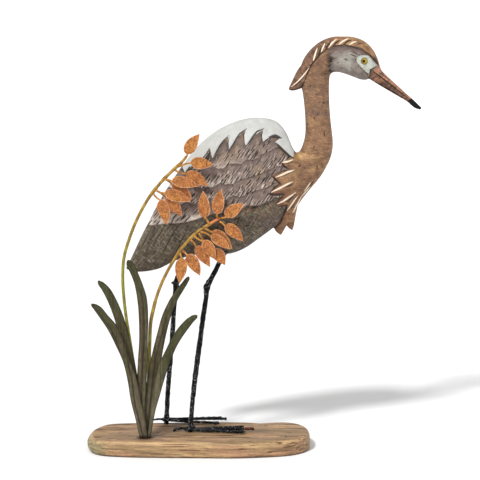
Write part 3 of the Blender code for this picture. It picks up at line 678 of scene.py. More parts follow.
def smooth_noise(places, size, seed=0):
    """Random values from 0 to 1 that change smoothly over about the given size, one or three numbers."""
    scaled = places / np.asarray(size, float) + seed * 7.31
    base = np.floor(scaled).astype(int)
    part = scaled - base
    part = part * part * (3 - 2 * part)
    total = np.zeros(len(places))
    for corner in itertools.product((0, 1), repeat=3):
        weight = np.prod(np.where(corner, part, 1 - part), axis=1)
        index = (base + corner) % NOISE_SIDE
        total += weight * NOISE_TABLE[index[:, 0], index[:, 1], index[:, 2]]
    return total


def line_distance(flat, line):
    """Each (x, z) place's distance to a bent line, and how far along the line its nearest point is."""
    line = np.asarray(line, float)
    best = np.full(len(flat), np.inf)
    along = np.zeros(len(flat))
    before = 0.0
    for start, end in zip(line[:-1], line[1:]):
        run = end - start
        size = np.hypot(*run)
        t = np.clip((flat - start) @ run / size**2, 0.0, 1.0)
        gap = np.hypot(*(flat - start - t[:, None] * run).T)
        closer = gap < best
        best[closer] = gap[closer]
        along[closer] = before + t[closer] * size
        before += size
    return best, along / before


def inside_distance(flat, outline):
    """Distance to a closed outline, positive inside it."""
    ring = np.asarray(outline + outline[:1], float)
    gap, _ = line_distance(flat, ring)
    inside = np.zeros(len(flat), bool)
    for (x1, z1), (x2, z2) in zip(ring[:-1], ring[1:]):
        if z1 != z2:
            crosses = (z1 > flat[:, 1]) != (z2 > flat[:, 1])
            inside ^= crosses & (flat[:, 0] < (x2 - x1) * (flat[:, 1] - z1) / (z2 - z1) + x1)
    return np.where(inside, gap, -gap)


def stroke_share(flat, strokes):
    """How strongly tapered strokes cover each place: one half at a stroke's outline, more inside it."""
    share = np.zeros(len(flat))
    for width, line in strokes:
        points = np.asarray(line, float)
        near = np.all((flat > points.min(axis=0) - 3) & (flat < points.max(axis=0) + 3), axis=1)
        if not near.any():
            continue
        gap, along = line_distance(flat[near], line)
        half = width / 2 * np.sqrt(np.sin(np.pi * np.clip(along, 0.05, 0.95)))
        share[near] = np.maximum(share[near], outline_share(half - gap))
    return share


def outline_share(inward):
    """Share of cover from the distance inward of an outline: one half on it, rising over a millimetre."""
    return np.clip(0.5 + inward / 2.2, 0.0, 1.0)


def hand_value(column, row, seed):
    """A random value from 0 to 1 for each pair of whole numbers."""
    return NOISE_TABLE[column % NOISE_SIDE, row % NOISE_SIDE, seed % NOISE_SIDE]


def gouges(flat, degrees, width, size, seed):
    """Long scooped cuts side by side at an angle: depth, place across from -1 to 1, and a random tone."""
    angle = math.radians(degrees)
    points = np.column_stack([flat[:, 0], flat[:, 1], np.zeros(len(flat))])
    along = flat @ (math.cos(angle), math.sin(angle)) + 4.0 * smooth_noise(points, 7.0, seed)
    across = flat @ (-math.sin(angle), math.cos(angle)) + 2.2 * smooth_noise(points, 11.0, seed + 1)
    column = np.floor(across / width).astype(int)
    shift = hand_value(column, 5, seed) * size
    row = np.floor((along + shift) / size).astype(int)
    place_across = 2 * (across / width - column) - 1
    place_along = 2 * ((along + shift) / size - row) - 1
    tone = hand_value(column, row, seed + 9)
    depth = (1 - place_across**2) * (1 - place_along**4) * (0.45 + 0.55 * tone)
    return depth, place_across, tone


def chisel_marks(flat, above, band, degrees, spacing, size, seed):
    """Short cuts in rows, each with a ridge beside it: how far inside a cut and a ridge each place is.

    above is a place's height over the end of its feather and band is the number of its feather row.
    """
    angle = math.radians(degrees)
    points = np.column_stack([flat[:, 0], flat[:, 1], np.zeros(len(flat))])
    across = flat @ (-math.sin(angle), math.cos(angle)) + 1.8 * smooth_noise(points, 9.0, seed)
    along = above / math.sin(angle) + 1.5 * smooth_noise(points, 5.0, seed + 1)
    cut = np.full(len(flat), -4.0)
    ridge = np.full(len(flat), -4.0)
    for tier in range(3):
        shifted = across / spacing + 0.4 * tier
        column = np.floor(shifted).astype(int)
        key = seed + 10 * tier
        row = band * 7 + tier
        off = (shifted - column - 0.5 - 0.4 * (hand_value(column, row, key + 2) - 0.5)) * spacing
        middle = size * (0.5 + 0.8 * tier + 0.6 * (hand_value(column, row, key + 3) - 0.5))
        half = size * (0.3 + 0.3 * hand_value(column, row, key + 4))
        lens = 1 - ((along - middle) / half) ** 2
        lens = np.where(lens > 0, np.sqrt(np.maximum(lens, 0)), np.maximum(lens, -2))
        strength = hand_value(column, row, key + 5)
        thin = 0.42 + 0.36 * hand_value(column, row, key + 7)
        side = np.where(hand_value(column, row, key + 6) < 0.7, 1.0, -1.0)
        here = np.where(strength > 0.12 + 0.16 * tier, thin * lens - np.abs(off), -4.0)
        beside = np.where(strength > 0.05 + 0.1 * tier, 0.48 * lens - np.abs(off - 1.15 * side), -4.0)
        cut = np.maximum(cut, here)
        ridge = np.maximum(ridge, beside)
    return cut, ridge


def hold_inside(places, node):
    """Places no further out than the box of the solid that the piece covers."""
    low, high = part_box(node)
    return np.clip(places, np.array(low) / MM, np.array(high) / MM)


def settle(item):
    """Apply an object's modifiers to its mesh."""
    shaped = item.evaluated_get(bpy.context.evaluated_depsgraph_get())
    mesh = bpy.data.meshes.new_from_object(shaped)
    item.modifiers.clear()
    rough = item.data
    item.data = mesh
    mesh.name = item.name
    bpy.data.meshes.remove(rough)


def thin_out(item, share):
    """Merge a mesh's faces down to a share of their number, the flattest places first."""
    thin = item.modifiers.new("thin out", "DECIMATE")
    thin.ratio = share
    settle(item)


def blend_paint(paint, new_colour, share):
    """Brush a colour over the paint, by a share for each place."""
    paint += (np.asarray(new_colour) - paint) * np.clip(share, 0.0, 1.0)[:, None]


def flat_paint(first_colour, count):
    """One colour on each of a number of points."""
    return np.tile(np.asarray(first_colour), (count, 1))


def ring_faces(rows, sides):
    """Faces between rings of points, one after another."""
    faces = []
    for row in range(rows - 1):
        for side in range(sides):
            a = row * sides + side
            b = row * sides + (side + 1) % sides
            faces.append((a, a + sides, b + sides, b))
    return faces


def loft_shell(sections):
    """Points and faces of a closed shell through rings of points, one after another."""
    sections = np.asarray(sections, float)
    rows, sides = sections.shape[:2]
    faces = ring_faces(rows, sides)
    faces.append(tuple(range(sides)))
    faces.append(tuple(range(rows * sides - 1, (rows - 1) * sides - 1, -1)))
    return sections.reshape(-1, 3), faces


def spoke_shell(spokes, steps, sides):
    """A shell with a rounded section on each spoke from back to front."""
    rows = catmull_rom([(*back, *front, half) for back, front, half in spokes], steps)
    angle = np.linspace(0, 2 * np.pi, sides, endpoint=False)
    across = np.sign(np.cos(angle)) * np.abs(np.cos(angle)) ** (2 / SECTION_FULLNESS)
    out = np.sign(np.sin(angle)) * np.abs(np.sin(angle)) ** (2 / SECTION_FULLNESS)
    sections = []
    for back_x, back_z, front_x, front_z, half in rows:
        sections.append(np.column_stack([
            (back_x + front_x) / 2 + across * (back_x - front_x) / 2,
            BODY_MIDPLANE + out * half,
            (back_z + front_z) / 2 + across * (back_z - front_z) / 2,
        ]))
    return loft_shell(sections)


def rod_shell(route, sides=14, steps=5):
    """A round rod along (x, y, z, radius) points, with rounded ends."""
    rows = catmull_rom(route, steps)
    places, radii = rows[:, :3], rows[:, 3]
    ahead = np.gradient(places, axis=0)
    ahead /= np.linalg.norm(ahead, axis=1)[:, None]
    for end, turn in ((0, -1), (-1, 1)):
        grown = [places[end] + turn * ahead[end] * radii[end] * reach for reach in (0.6, 0.9)]
        sizes = radii[end] * np.array([0.8, 0.4])
        heads = [ahead[end], ahead[end]]
        if end == 0:
            places = np.vstack([grown[::-1], places])
            radii = np.concatenate([sizes[::-1], radii])
            ahead = np.vstack([heads, ahead])
        else:
            places = np.vstack([places, grown])
            radii = np.concatenate([radii, sizes])
            ahead = np.vstack([ahead, heads])
    side = np.cross(ahead, (0.13, 0.97, 0.21))
    side /= np.linalg.norm(side, axis=1)[:, None]
    up = np.cross(ahead, side)
    angle = np.linspace(0, 2 * np.pi, sides, endpoint=False)
    ring = np.cos(angle)[None, :, None] * side[:, None] + np.sin(angle)[None, :, None] * up[:, None]
    return loft_shell(places[:, None] + ring * radii[:, None, None])


def lump_shell(centre, radii, sides=16):
    """A lump of weld: an ellipsoid made of rings."""
    turn = np.linspace(0.12, np.pi - 0.12, 9)
    angle = np.linspace(0, 2 * np.pi, sides, endpoint=False)
    sections = []
    for t in turn:
        ring = np.column_stack([
            np.sin(t) * np.cos(angle), np.sin(t) * np.sin(angle), np.full(sides, -np.cos(t)),
        ])
        sections.append(np.asarray(centre) + ring * radii)
    return loft_shell(sections)


def mesh_object(name, places, faces):
    """An object from points in millimetres."""
    mesh = bpy.data.meshes.new(name)
    mesh.from_pydata((np.asarray(places) * MM).tolist(), [], faces)
    mesh.update()
    item = bpy.data.objects.new(name, mesh)
    bpy.context.scene.collection.objects.link(item)
    return item


def fuse_shells(name, shells, voxel, holes=()):
    """One even mesh round all the shells, less the holes."""
    places, faces, count = [], [], 0
    for shell_places, shell_faces in shells:
        places.append(shell_places)
        faces += [tuple(corner + count for corner in face) for face in shell_faces]
        count += len(shell_places)
    item = mesh_object(name, np.vstack(places), faces)
    cutters = [mesh_object(f"{name}_hole", *hole) for hole in holes]
    for cutter in cutters:
        cut = item.modifiers.new("hole", "BOOLEAN")
        cut.operation = "DIFFERENCE"
        cut.object = cutter
    remesh = item.modifiers.new("even mesh", "REMESH")
    remesh.mode = "VOXEL"
    remesh.voxel_size = voxel
    settle(item)
    for cutter in cutters:
        bpy.data.objects.remove(cutter, do_unlink=True)
    return item


def nearest_values(places, sources, values):
    """For each place, the values kept at the nearest of the sources."""
    tree = KDTree(len(sources))
    for index, source in enumerate(sources.tolist()):
        tree.insert(source, index)
    tree.balance()
    return values[[tree.find(place)[1] for place in places.tolist()]]


def crisp(tree, name, waver, low=0.43, high=0.57):
    """A brushed edge where an attribute passes from low to high, wavering a little."""
    value = calculate(tree, "ADD", attribute(tree, name), waver)
    return add_node(tree, "ShaderNodeMapRange", {
        "Value": value, "From Min": low, "From Max": high,
    }, interpolation_type="SMOOTHSTEP").outputs["Result"]


def read_places(mesh):
    """A mesh's points in millimetres."""
    places = np.empty(len(mesh.vertices) * 3)
    mesh.vertices.foreach_get("co", places)
    return places.reshape(-1, 3) / MM


def write_places(mesh, places):
    mesh.vertices.foreach_set("co", (places * MM).ravel())
    mesh.update()


def read_normals(mesh):
    normals = np.empty(len(mesh.vertices) * 3)
    mesh.vertex_normals.foreach_get("vector", normals)
    return normals.reshape(-1, 3)


def relax(mesh, rounds):
    """Smooth the steps out of a mesh without shrinking it."""
    places = read_places(mesh)
    edges = np.empty(len(mesh.edges) * 2, int)
    mesh.edges.foreach_get("vertices", edges)
    first, second = edges.reshape(-1, 2).T
    count = np.bincount(edges, minlength=len(places))[:, None]
    for push in (0.5, -0.52) * rounds:
        total = np.column_stack([
            np.bincount(first, places[second, axis], len(places))
            + np.bincount(second, places[first, axis], len(places))
            for axis in range(3)
        ])
        places = places + push * (total / count - places)
    write_places(mesh, places)


def write_paint(mesh, paint):
    """Keep the paint as a colour on each point."""
    layer = mesh.attributes.new("paint", "FLOAT_COLOR", "POINT")
    layer.data.foreach_set("color", np.column_stack([paint, np.ones(len(paint))]).ravel())


def write_share(mesh, name, share):
    """Keep a share from 0 to 1 on each point."""
    layer = mesh.attributes.new(name, "FLOAT", "POINT")
    layer.data.foreach_set("value", np.asarray(share, np.float32))


def finish_piece(item, material, node):
    """Shade a piece smooth, give it its finish, and let it stand for its node."""
    item.data.materials.clear()
    item.data.materials.append(material)
    item.data.shade_smooth()
    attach(item, BODY)
    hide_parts(node)


def add_node(tree, kind, inputs=None, **options):
    """Add a shader node. An input's value is either a socket to link or a number, colour or vector."""
    item = tree.nodes.new(kind)
    for name, value in options.items():
        setattr(item, name, value)
    for name, value in (inputs or {}).items():
        if isinstance(value, bpy.types.NodeSocket):
            tree.links.new(value, item.inputs[name])
        else:
            item.inputs[name].default_value = value
    return item


def new_finish(name, roughness, **shader_values):
    """A material and its tree. Shader values are given by socket name with _ for a space."""
    material = bpy.data.materials.new(name)
    material.use_nodes = True
    shader = material.node_tree.nodes["Principled BSDF"]
    shader.inputs["Roughness"].default_value = roughness
    for socket, value in shader_values.items():
        shader.inputs[socket.replace("_", " ")].default_value = value
    return material, material.node_tree, shader


def attribute(tree, name, output="Fac"):
    return add_node(tree, "ShaderNodeAttribute", attribute_name=name).outputs[output]


def texture_place(tree, sizes, turn=(0.0, 0.0, 0.0), centre=(0.0, 0.0, 0.0)):
    """Places on the object counted in the given sizes, in millimetres, along axes turned by degrees."""
    place = add_node(tree, "ShaderNodeTexCoord").outputs["Object"]
    mapping = add_node(tree, "ShaderNodeMapping", {
        "Vector": place, "Location": [value * MM for value in centre],
        "Rotation": [math.radians(value) for value in turn], "Scale": [value * MM for value in sizes],
    }, vector_type="TEXTURE")
    return mapping.outputs[0]


def noise(tree, sizes, detail=3.0, roughness=0.55, distortion=0.0, **place):
    """Random values whose patches have the given sizes, in millimetres."""
    return add_node(tree, "ShaderNodeTexNoise", {
        "Vector": texture_place(tree, sizes, **place), "Scale": 1.0, "Detail": detail,
        "Roughness": roughness, "Distortion": distortion,
    }).outputs["Fac"]


def mix(tree, factor, first, second, blend="MIX"):
    """Mix two colours, each a socket or a colour of three parts."""
    item = add_node(tree, "ShaderNodeMix", data_type="RGBA", blend_type=blend)
    for index, value in ((0, factor), (6, first), (7, second)):
        if isinstance(value, bpy.types.NodeSocket):
            tree.links.new(value, item.inputs[index])
        elif index:
            item.inputs[index].default_value = (*value, 1.0)
        else:
            item.inputs[index].default_value = value
    return item.outputs[2]


def ramp(tree, factor, *stops):
    """Grey levels by place: each stop is (place, level)."""
    item = add_node(tree, "ShaderNodeValToRGB", {"Fac": factor})
    elements = item.color_ramp.elements
    while len(elements) < len(stops):
        elements.new(0.5)
    for element, (place, level) in zip(elements, stops):
        element.position = place
        element.color = (level, level, level, 1.0)
    return item.outputs["Color"]


def calculate(tree, operation, *values, clamp=False):
    item = add_node(tree, "ShaderNodeMath", operation=operation, use_clamp=clamp)
    for socket, value in zip(item.inputs, values):
        if isinstance(value, bpy.types.NodeSocket):
            tree.links.new(value, socket)
        else:
            socket.default_value = value
    return item.outputs[0]


def product(tree, first, second):
    return calculate(tree, "MULTIPLY", first, second)


def pattern_over(tree, share, base, factor, *stops):
    """Lay a pattern's grey levels over a colour: light ones lighten it and dark ones darken it."""
    return mix(tree, share, base, ramp(tree, factor, *stops), "OVERLAY")


def spread(tree, factor, low, high):
    """Stretch a 0 to 1 factor between two values."""
    return calculate(tree, "MULTIPLY_ADD", factor, high - low, low)


def bump(tree, height, depth, strength=1.0, normal=None):
    inputs = {"Height": height, "Distance": depth * MM, "Strength": strength}
    if normal is not None:
        inputs["Normal"] = normal
    return add_node(tree, "ShaderNodeBump", inputs).outputs[0]


def carved_paint_finish(settings):
    """Matt paint over carved wood: fields one over another, then streaks, grain and pores."""
    material, tree, shader = new_finish("carved_painted_wood", 0.6, Specular_IOR_Level=0.25)
    chisel = attribute(tree, "chisel")
    grain = attribute(tree, "grain")
    scratch = attribute(tree, "scratch")
    streak = noise(tree, (0.8, 5.0, 5.0), 4.0, 0.6, turn=(0, 32, 0))
    cross = noise(tree, (8.0, 8.0, 1.1), 4.0, 0.65, 0.8, turn=(0, 7, 0))
    mottle = noise(tree, (6.0, 6.0, 6.0), 4.0, 0.65)
    blotch = noise(tree, (15.0, 15.0, 11.0), 3.0, 0.6, centre=(5, 3, 2))
    pores = noise(tree, (0.7, 0.7, 0.7), 2.0)
    fray = noise(tree, (1.2, 1.2, 1.2), 3.0, 0.6)
    up_scratch = noise(tree, (0.55, 6.0, 8.0), 2.0, 0.5, turn=(0, 36, 0))
    down_scratch = noise(tree, (0.55, 6.0, 7.0), 2.0, 0.5, turn=(0, -48, 0), centre=(9, 4, 1))
    flecks = noise(tree, (1.5, 1.5, 2.2), 2.0, 0.6, turn=(0, 30, 0), centre=(2, 8, 5))
    wisps = noise(tree, (6.0, 6.0, 0.9), 3.0, 0.6, 0.7, turn=(0, 9, 0), centre=(3, 1, 7))
    waver = spread(tree, fray, -0.09, 0.09)

    paint = attribute(tree, "paint", "Color")
    dusted = product(tree, crisp(tree, "ridge", waver), ramp(tree, mottle, (0.3, 0.5), (0.6, 1.0)))
    pale_wisps = product(tree, ramp(tree, wisps, (0.56, 0.0), (0.64, 0.5)), grain)
    dark_wisps = product(tree, ramp(tree, wisps, (0.36, 0.6), (0.44, 0.0)), grain)
    wispy = mix(tree, dark_wisps, mix(tree, pale_wisps, paint, settings.nape), settings.plume_shade)
    ridged = mix(tree, product(tree, dusted, 0.8), wispy, settings.chalk)
    # The cut share holds the chisel cuts and the painted shadow line along each feather row's lip.
    cut = mix(tree, product(tree, crisp(tree, "cut", waver), 0.97), ridged, settings.cut)
    lines = product(tree, ramp(tree, up_scratch, (0.57, 0.0), (0.64, 0.9)), scratch)
    scored = mix(tree, lines, cut, settings.cut)
    dry = product(tree, ramp(tree, down_scratch, (0.6, 0.0), (0.67, 0.5)), scratch)
    hatched = mix(tree, dry, scored, settings.chalk)
    chips = product(tree, ramp(tree, flecks, (0.68, 0.0), (0.73, 0.5)), scratch)
    chipped = mix(tree, chips, hatched, settings.nape)
    parts = add_node(tree, "ShaderNodeSeparateXYZ", {"Vector": texture_place(tree, (1.0, 1.0, 1.0))})
    along = parts.outputs["X"]
    leftward = add_node(tree, "ShaderNodeMapRange", {
        "Value": along, "From Min": 40.0, "From Max": -15.0, "To Min": 0.0, "To Max": 1.5,
    }).outputs["Result"]
    shading = calculate(tree, "ADD", ramp(tree, blotch, (0.35, 0.0), (0.65, 1.0)), leftward)
    shades = mix(tree, shading, settings.mantle, settings.mantle_shade)
    white = crisp(tree, "mantle", spread(tree, fray, -0.5, 0.5), -0.25, 0.25)
    whitened = mix(tree, white, chipped, shades)
    ringed = mix(tree, crisp(tree, "eye_ring", spread(tree, fray, -0.6, 0.6), -0.3, 0.3), whitened,
                 settings.eye_ring)
    black_tip = crisp(tree, "bill_tip", spread(tree, fray, -0.8, 0.8), -0.3, 0.3)
    tipped = mix(tree, black_tip, ringed, settings.bill_tip)
    # The burnt share holds burnt lines and the painted shadow lines along the breast's cream strokes.
    burnt_and_shade = mix(tree, product(tree, crisp(tree, "burnt_and_shade", waver), 0.9), tipped, settings.burnt_and_shade)
    creamy = mix(tree, crisp(tree, "cream", waver), burnt_and_shade, settings.cream)

    streaked = pattern_over(tree, chisel, creamy, streak, (0.34, 0.26), (0.5, 0.5), (0.68, 0.76))
    grained = pattern_over(tree, grain, streaked, cross, (0.3, 0.27), (0.52, 0.5), (0.75, 0.72))
    clouded = pattern_over(tree, grain, grained, blotch, (0.35, 0.4), (0.65, 0.6))
    mottle_share = spread(tree, white, 0.75, 0.2)
    mottled = pattern_over(tree, mottle_share, clouded, mottle, (0.3, 0.3), (0.7, 0.68))
    speckled = pattern_over(tree, spread(tree, white, 0.6, 0.3), mottled, pores, (0.3, 0.22), (0.6, 0.62))
    tree.links.new(speckled, shader.inputs["Base Color"])
    tree.links.new(spread(tree, mottle, 0.45, 0.8), shader.inputs["Roughness"])
    marks = product(tree, streak, chisel)
    rings = product(tree, cross, grain)
    fine = bump(tree, pores, 0.12, 0.5)
    ringed_bump = bump(tree, rings, 0.3, 0.6, fine)
    tree.links.new(bump(tree, marks, 0.5, 0.7, ringed_bump), shader.inputs["Normal"])
    return material


def wing_rows(flat, places, settings):
    """The wing's rows of feathers at each place, with the cuts and ridges on them."""
    heights = np.array([np.interp(flat[:, 0], *np.transpose(row)) for row in FEATHER_ROWS])
    level = flat[:, 1] + 0.8 * (smooth_noise(places, (3.0, 60.0, 3.0), 21) - 0.5)
    last = len(FEATHER_ROWS) - 2
    row = np.clip((heights[:-1] >= level).sum(axis=0) - 1, 0, last)
    index = np.arange(len(flat))
    top, bottom = heights[row, index], heights[row + 1, index]
    down = np.clip((top - level) / np.maximum(top - bottom, 4.0), 0.0, 1.0)
    above = np.maximum(level - bottom, 0.0)
    edge = level - bottom
    leftward = 1 - smoothstep(0, 62, flat[:, 0])
    # bare marks the smooth top of each row; the paint lays shade there as if cast by the row above.
    bare = (1 - smoothstep(0.1, 0.42, down)) * (0.25 + 0.75 * leftward) * (row > 0)

    spacing, size = settings.gouge_spacing / MM, settings.gouge_length / MM
    cut, ridge = chisel_marks(flat, above, row, 57, spacing, size, 3)
    low_cut, low_ridge = chisel_marks(flat, above, row, 48, spacing, size * 1.1, 14)
    tailward = smoothstep(26, 4, flat[:, 0] + 0.9 * (flat[:, 1] - 300))
    cut += (low_cut - cut) * tailward
    ridge += (low_ridge - ridge) * tailward
    cut -= 0.9 * bare
    ridge -= 0.55 * bare
    uneven = smooth_noise(places, 14.0, 22)
    # A thin dark line along each row's lip: a painted shadow line under the lip.
    lip_shadow_line = np.where(row < last, 0.42 + 0.3 * smoothstep(0.35, 0.6, uneven) - np.abs(edge - 0.1), -4.0)
    return {
        "cut": np.maximum(outline_share(cut), outline_share(lip_shadow_line)), "ridge": outline_share(ridge),
        "edge": edge, "above": above, "down": down, "bare": bare,
        "leftward": leftward, "inner": row < last, "below_first": row > 0,
        "under": np.maximum(heights[np.maximum(row, 1), index] - level, 0.0),
    }


def heron_fields(places):
    """Distances, in millimetres, of each place inward of the edges of the heron's painted fields."""
    flat = places[:, [0, 2]]
    x = flat[:, 0]
    ragged = 1.6 * (smooth_noise(places, 2.0, 1) - 0.5) + 1.6 * (smooth_noise(places, 5.0, 2) - 0.5)
    body = inside_distance(flat, BODY_FIELD)
    mantle = inside_distance(flat, MANTLE) + 0.3 * ragged
    return {
        "body": body,
        "mantle": np.minimum(mantle, body),
        "wing": inside_distance(flat, WING) + ragged * (0.5 + 1.6 * smoothstep(0, 60, x)),
        "cap": inside_distance(flat, CAP) + 0.25 * ragged,
        "cheek": inside_distance(flat, CHEEK) + 1.5 * ragged,
        "eye_ring": inside_distance(flat, EYE_RING) + 0.5 * ragged,
        "bill": inside_distance(flat, BILL),
        "bill_top": inside_distance(flat, BILL_TOP),
        "bill_tip": inside_distance(flat, BILL_TIP) + 0.4 * ragged,
    }


def carve_heron(item, settings):
    """Raise the mantle, wing, plumes and cap, and cut the feathers, strokes and eye sockets."""
    mesh = item.data
    places, normals = read_places(mesh), read_normals(mesh)
    flat = places[:, [0, 2]]
    x, z = flat.T
    fields = heron_fields(places)
    rows = wing_rows(flat, places, settings)
    soft = 0.5
    body = smoothstep(-soft, soft, fields["body"])
    mantle = smoothstep(-soft, soft, fields["mantle"])
    wing = smoothstep(-soft, soft, fields["wing"])
    cap = smoothstep(-soft, soft, fields["cap"]) * (z > HEAD_BOTTOM)
    facing = smoothstep(0.1, 0.42, np.abs(normals[:, 1]))

    relief = settings.relief / MM
    height = relief * mantle * np.exp(-np.maximum(fields["mantle"], 0) / 15)
    height += 1.1 * relief * wing * body * (1 - mantle) * np.exp(-np.maximum(fields["wing"], 0) / 9)
    height += 0.9 * relief * (1 - body) * (z < 356) * np.exp(-np.maximum(-fields["body"], 0) / 8)
    height += 0.7 * relief * cap * np.exp(-np.maximum(fields["cap"], 0) / 7)
    feathers = 0.6 * smoothstep(-0.2, 0.9, rows["edge"]) * np.exp(-rows["above"] / 7) * rows["inner"]
    feathers -= settings.gouge_depth / MM * smoothstep(0.35, 0.8, rows["cut"])
    feathers += 0.22 * smoothstep(0.35, 0.75, rows["ridge"])
    height += body * wing * (1 - mantle) * feathers
    belly_depth, _, _ = gouges(flat, *BELLY_CUTS)
    height -= 0.22 * body * (1 - wing) * belly_depth
    height -= 0.6 * smoothstep(0.3, 0.7, stroke_share(flat, BURNT_AND_SHADOW_STROKES))
    height -= 0.35 * smoothstep(0.3, 0.7, stroke_share(flat, CREAM_STROKES))
    height += 0.35 * (smooth_noise(places, 9.0, 31) - 0.5)
    height *= facing
    eye_gap = np.hypot(x - EYE_CENTRE[0], z - EYE_CENTRE[1])
    height -= 1.5 * smoothstep(4.3, 3.5, eye_gap) * (np.abs(normals[:, 1]) > 0.4)
    height += 0.5 * np.exp(-((eye_gap - 4.9) / 0.8) ** 2)
    height += 0.6 * smoothstep(0.75, 0.25, np.abs(normals[:, 1])) * smoothstep(60, 100, x)
    write_places(mesh, hold_inside(places + normals * height[:, None], "heron"))
    return places, normals


def paint_body(paint, flat, places, fields, rows, settings):
    """Olive belly and tail, and the grey-brown wing under its cuts."""
    x, z = flat.T
    body = smoothstep(-0.5, 0.5, fields["body"])
    wing = smoothstep(-0.5, 0.5, fields["wing"]) * body
    blotch = smooth_noise(places, 16.0, 5)
    small = smooth_noise(places, 5.0, 23)
    uneven = smooth_noise(places, 14.0, 22)
    _, across, tone = gouges(flat, *BELLY_CUTS)
    belly = flat_paint(settings.belly, len(places))
    blend_paint(belly, settings.burnt_and_shade, 0.6 * np.exp(-((across - 0.2) / 0.3) ** 2) * tone)
    blend_paint(belly, settings.wing, 0.25 * np.exp(-((across + 0.6) / 0.3) ** 2) * tone)
    blend_paint(belly, settings.neck_low, 0.35 * smoothstep(0.5, 0.8, small) * smoothstep(20, 70, x))
    blend_paint(belly, settings.wing_shade, 0.5 * smoothstep(0.45, 0.8, blotch) * smoothstep(40, 90, x))
    blend_paint(belly, settings.cut, 0.3 * smoothstep(0.55, 0.85, smooth_noise(places, 3.5, 27)))
    # Darker toward the belly's lower edge: a burnt edge, deepened as painted shade on the underside.
    blend_paint(belly, settings.burnt_and_shade, 0.55 * smoothstep(255, 228, z + 0.35 * np.abs(x - 20)) * (x > -30))
    paint += (belly - paint) * body[:, None]

    leftward, down = rows["leftward"], rows["down"]
    blend_paint(paint, settings.wing, wing)
    blend_paint(
        paint, settings.wing_warm, wing * 0.8 * smoothstep(0.4, 0.75, uneven) * (1 - 0.6 * leftward))
    # Painted shade on the bare top of each row, under the row above; the small patches are tone.
    blend_paint(
        paint, settings.wing_shade, wing * (0.6 * rows["bare"] + 0.35 * smoothstep(0.5, 0.8, small)))
    blend_paint(paint, settings.chalk, wing * 0.65 * smoothstep(0.35, 0.9, down) * leftward)
    # Painted shadow just beneath the row above.
    blend_paint(paint, settings.cut, wing * 0.75 * rows["below_first"] * np.exp(-rows["under"] / 0.9))
    # Painted highlight along the top of each row's raised lip.
    lip_highlight = np.exp(-((rows["edge"] - 1.5) / 0.6) ** 2) * rows["inner"]
    blend_paint(paint, settings.chalk, wing * 0.45 * lip_highlight * small)
    # Painted shadow on the belly just beneath the wing's raised lower edge.
    wing_edge_shadow = np.exp(-((fields["wing"] + 1.6) / 1.4) ** 2) * (fields["wing"] < 0.5)
    blend_paint(paint, settings.burnt_and_shade, 0.45 * body * wing_edge_shadow)

    # Painted shadow on the wing just beneath the raised mantle's edge, deepest toward the tail.
    mantle = fields["mantle"]
    shade = smoothstep(-10, -1, mantle) * (mantle < 0.5) * body
    blend_paint(paint, settings.burnt_and_shade, 0.62 * shade * (0.4 + 0.6 * uneven) * smoothstep(52, 26, x))
    blend_paint(paint, settings.burnt_and_shade, 0.4 * smoothstep(-7, -1, mantle) * (mantle < 0.5) * body)


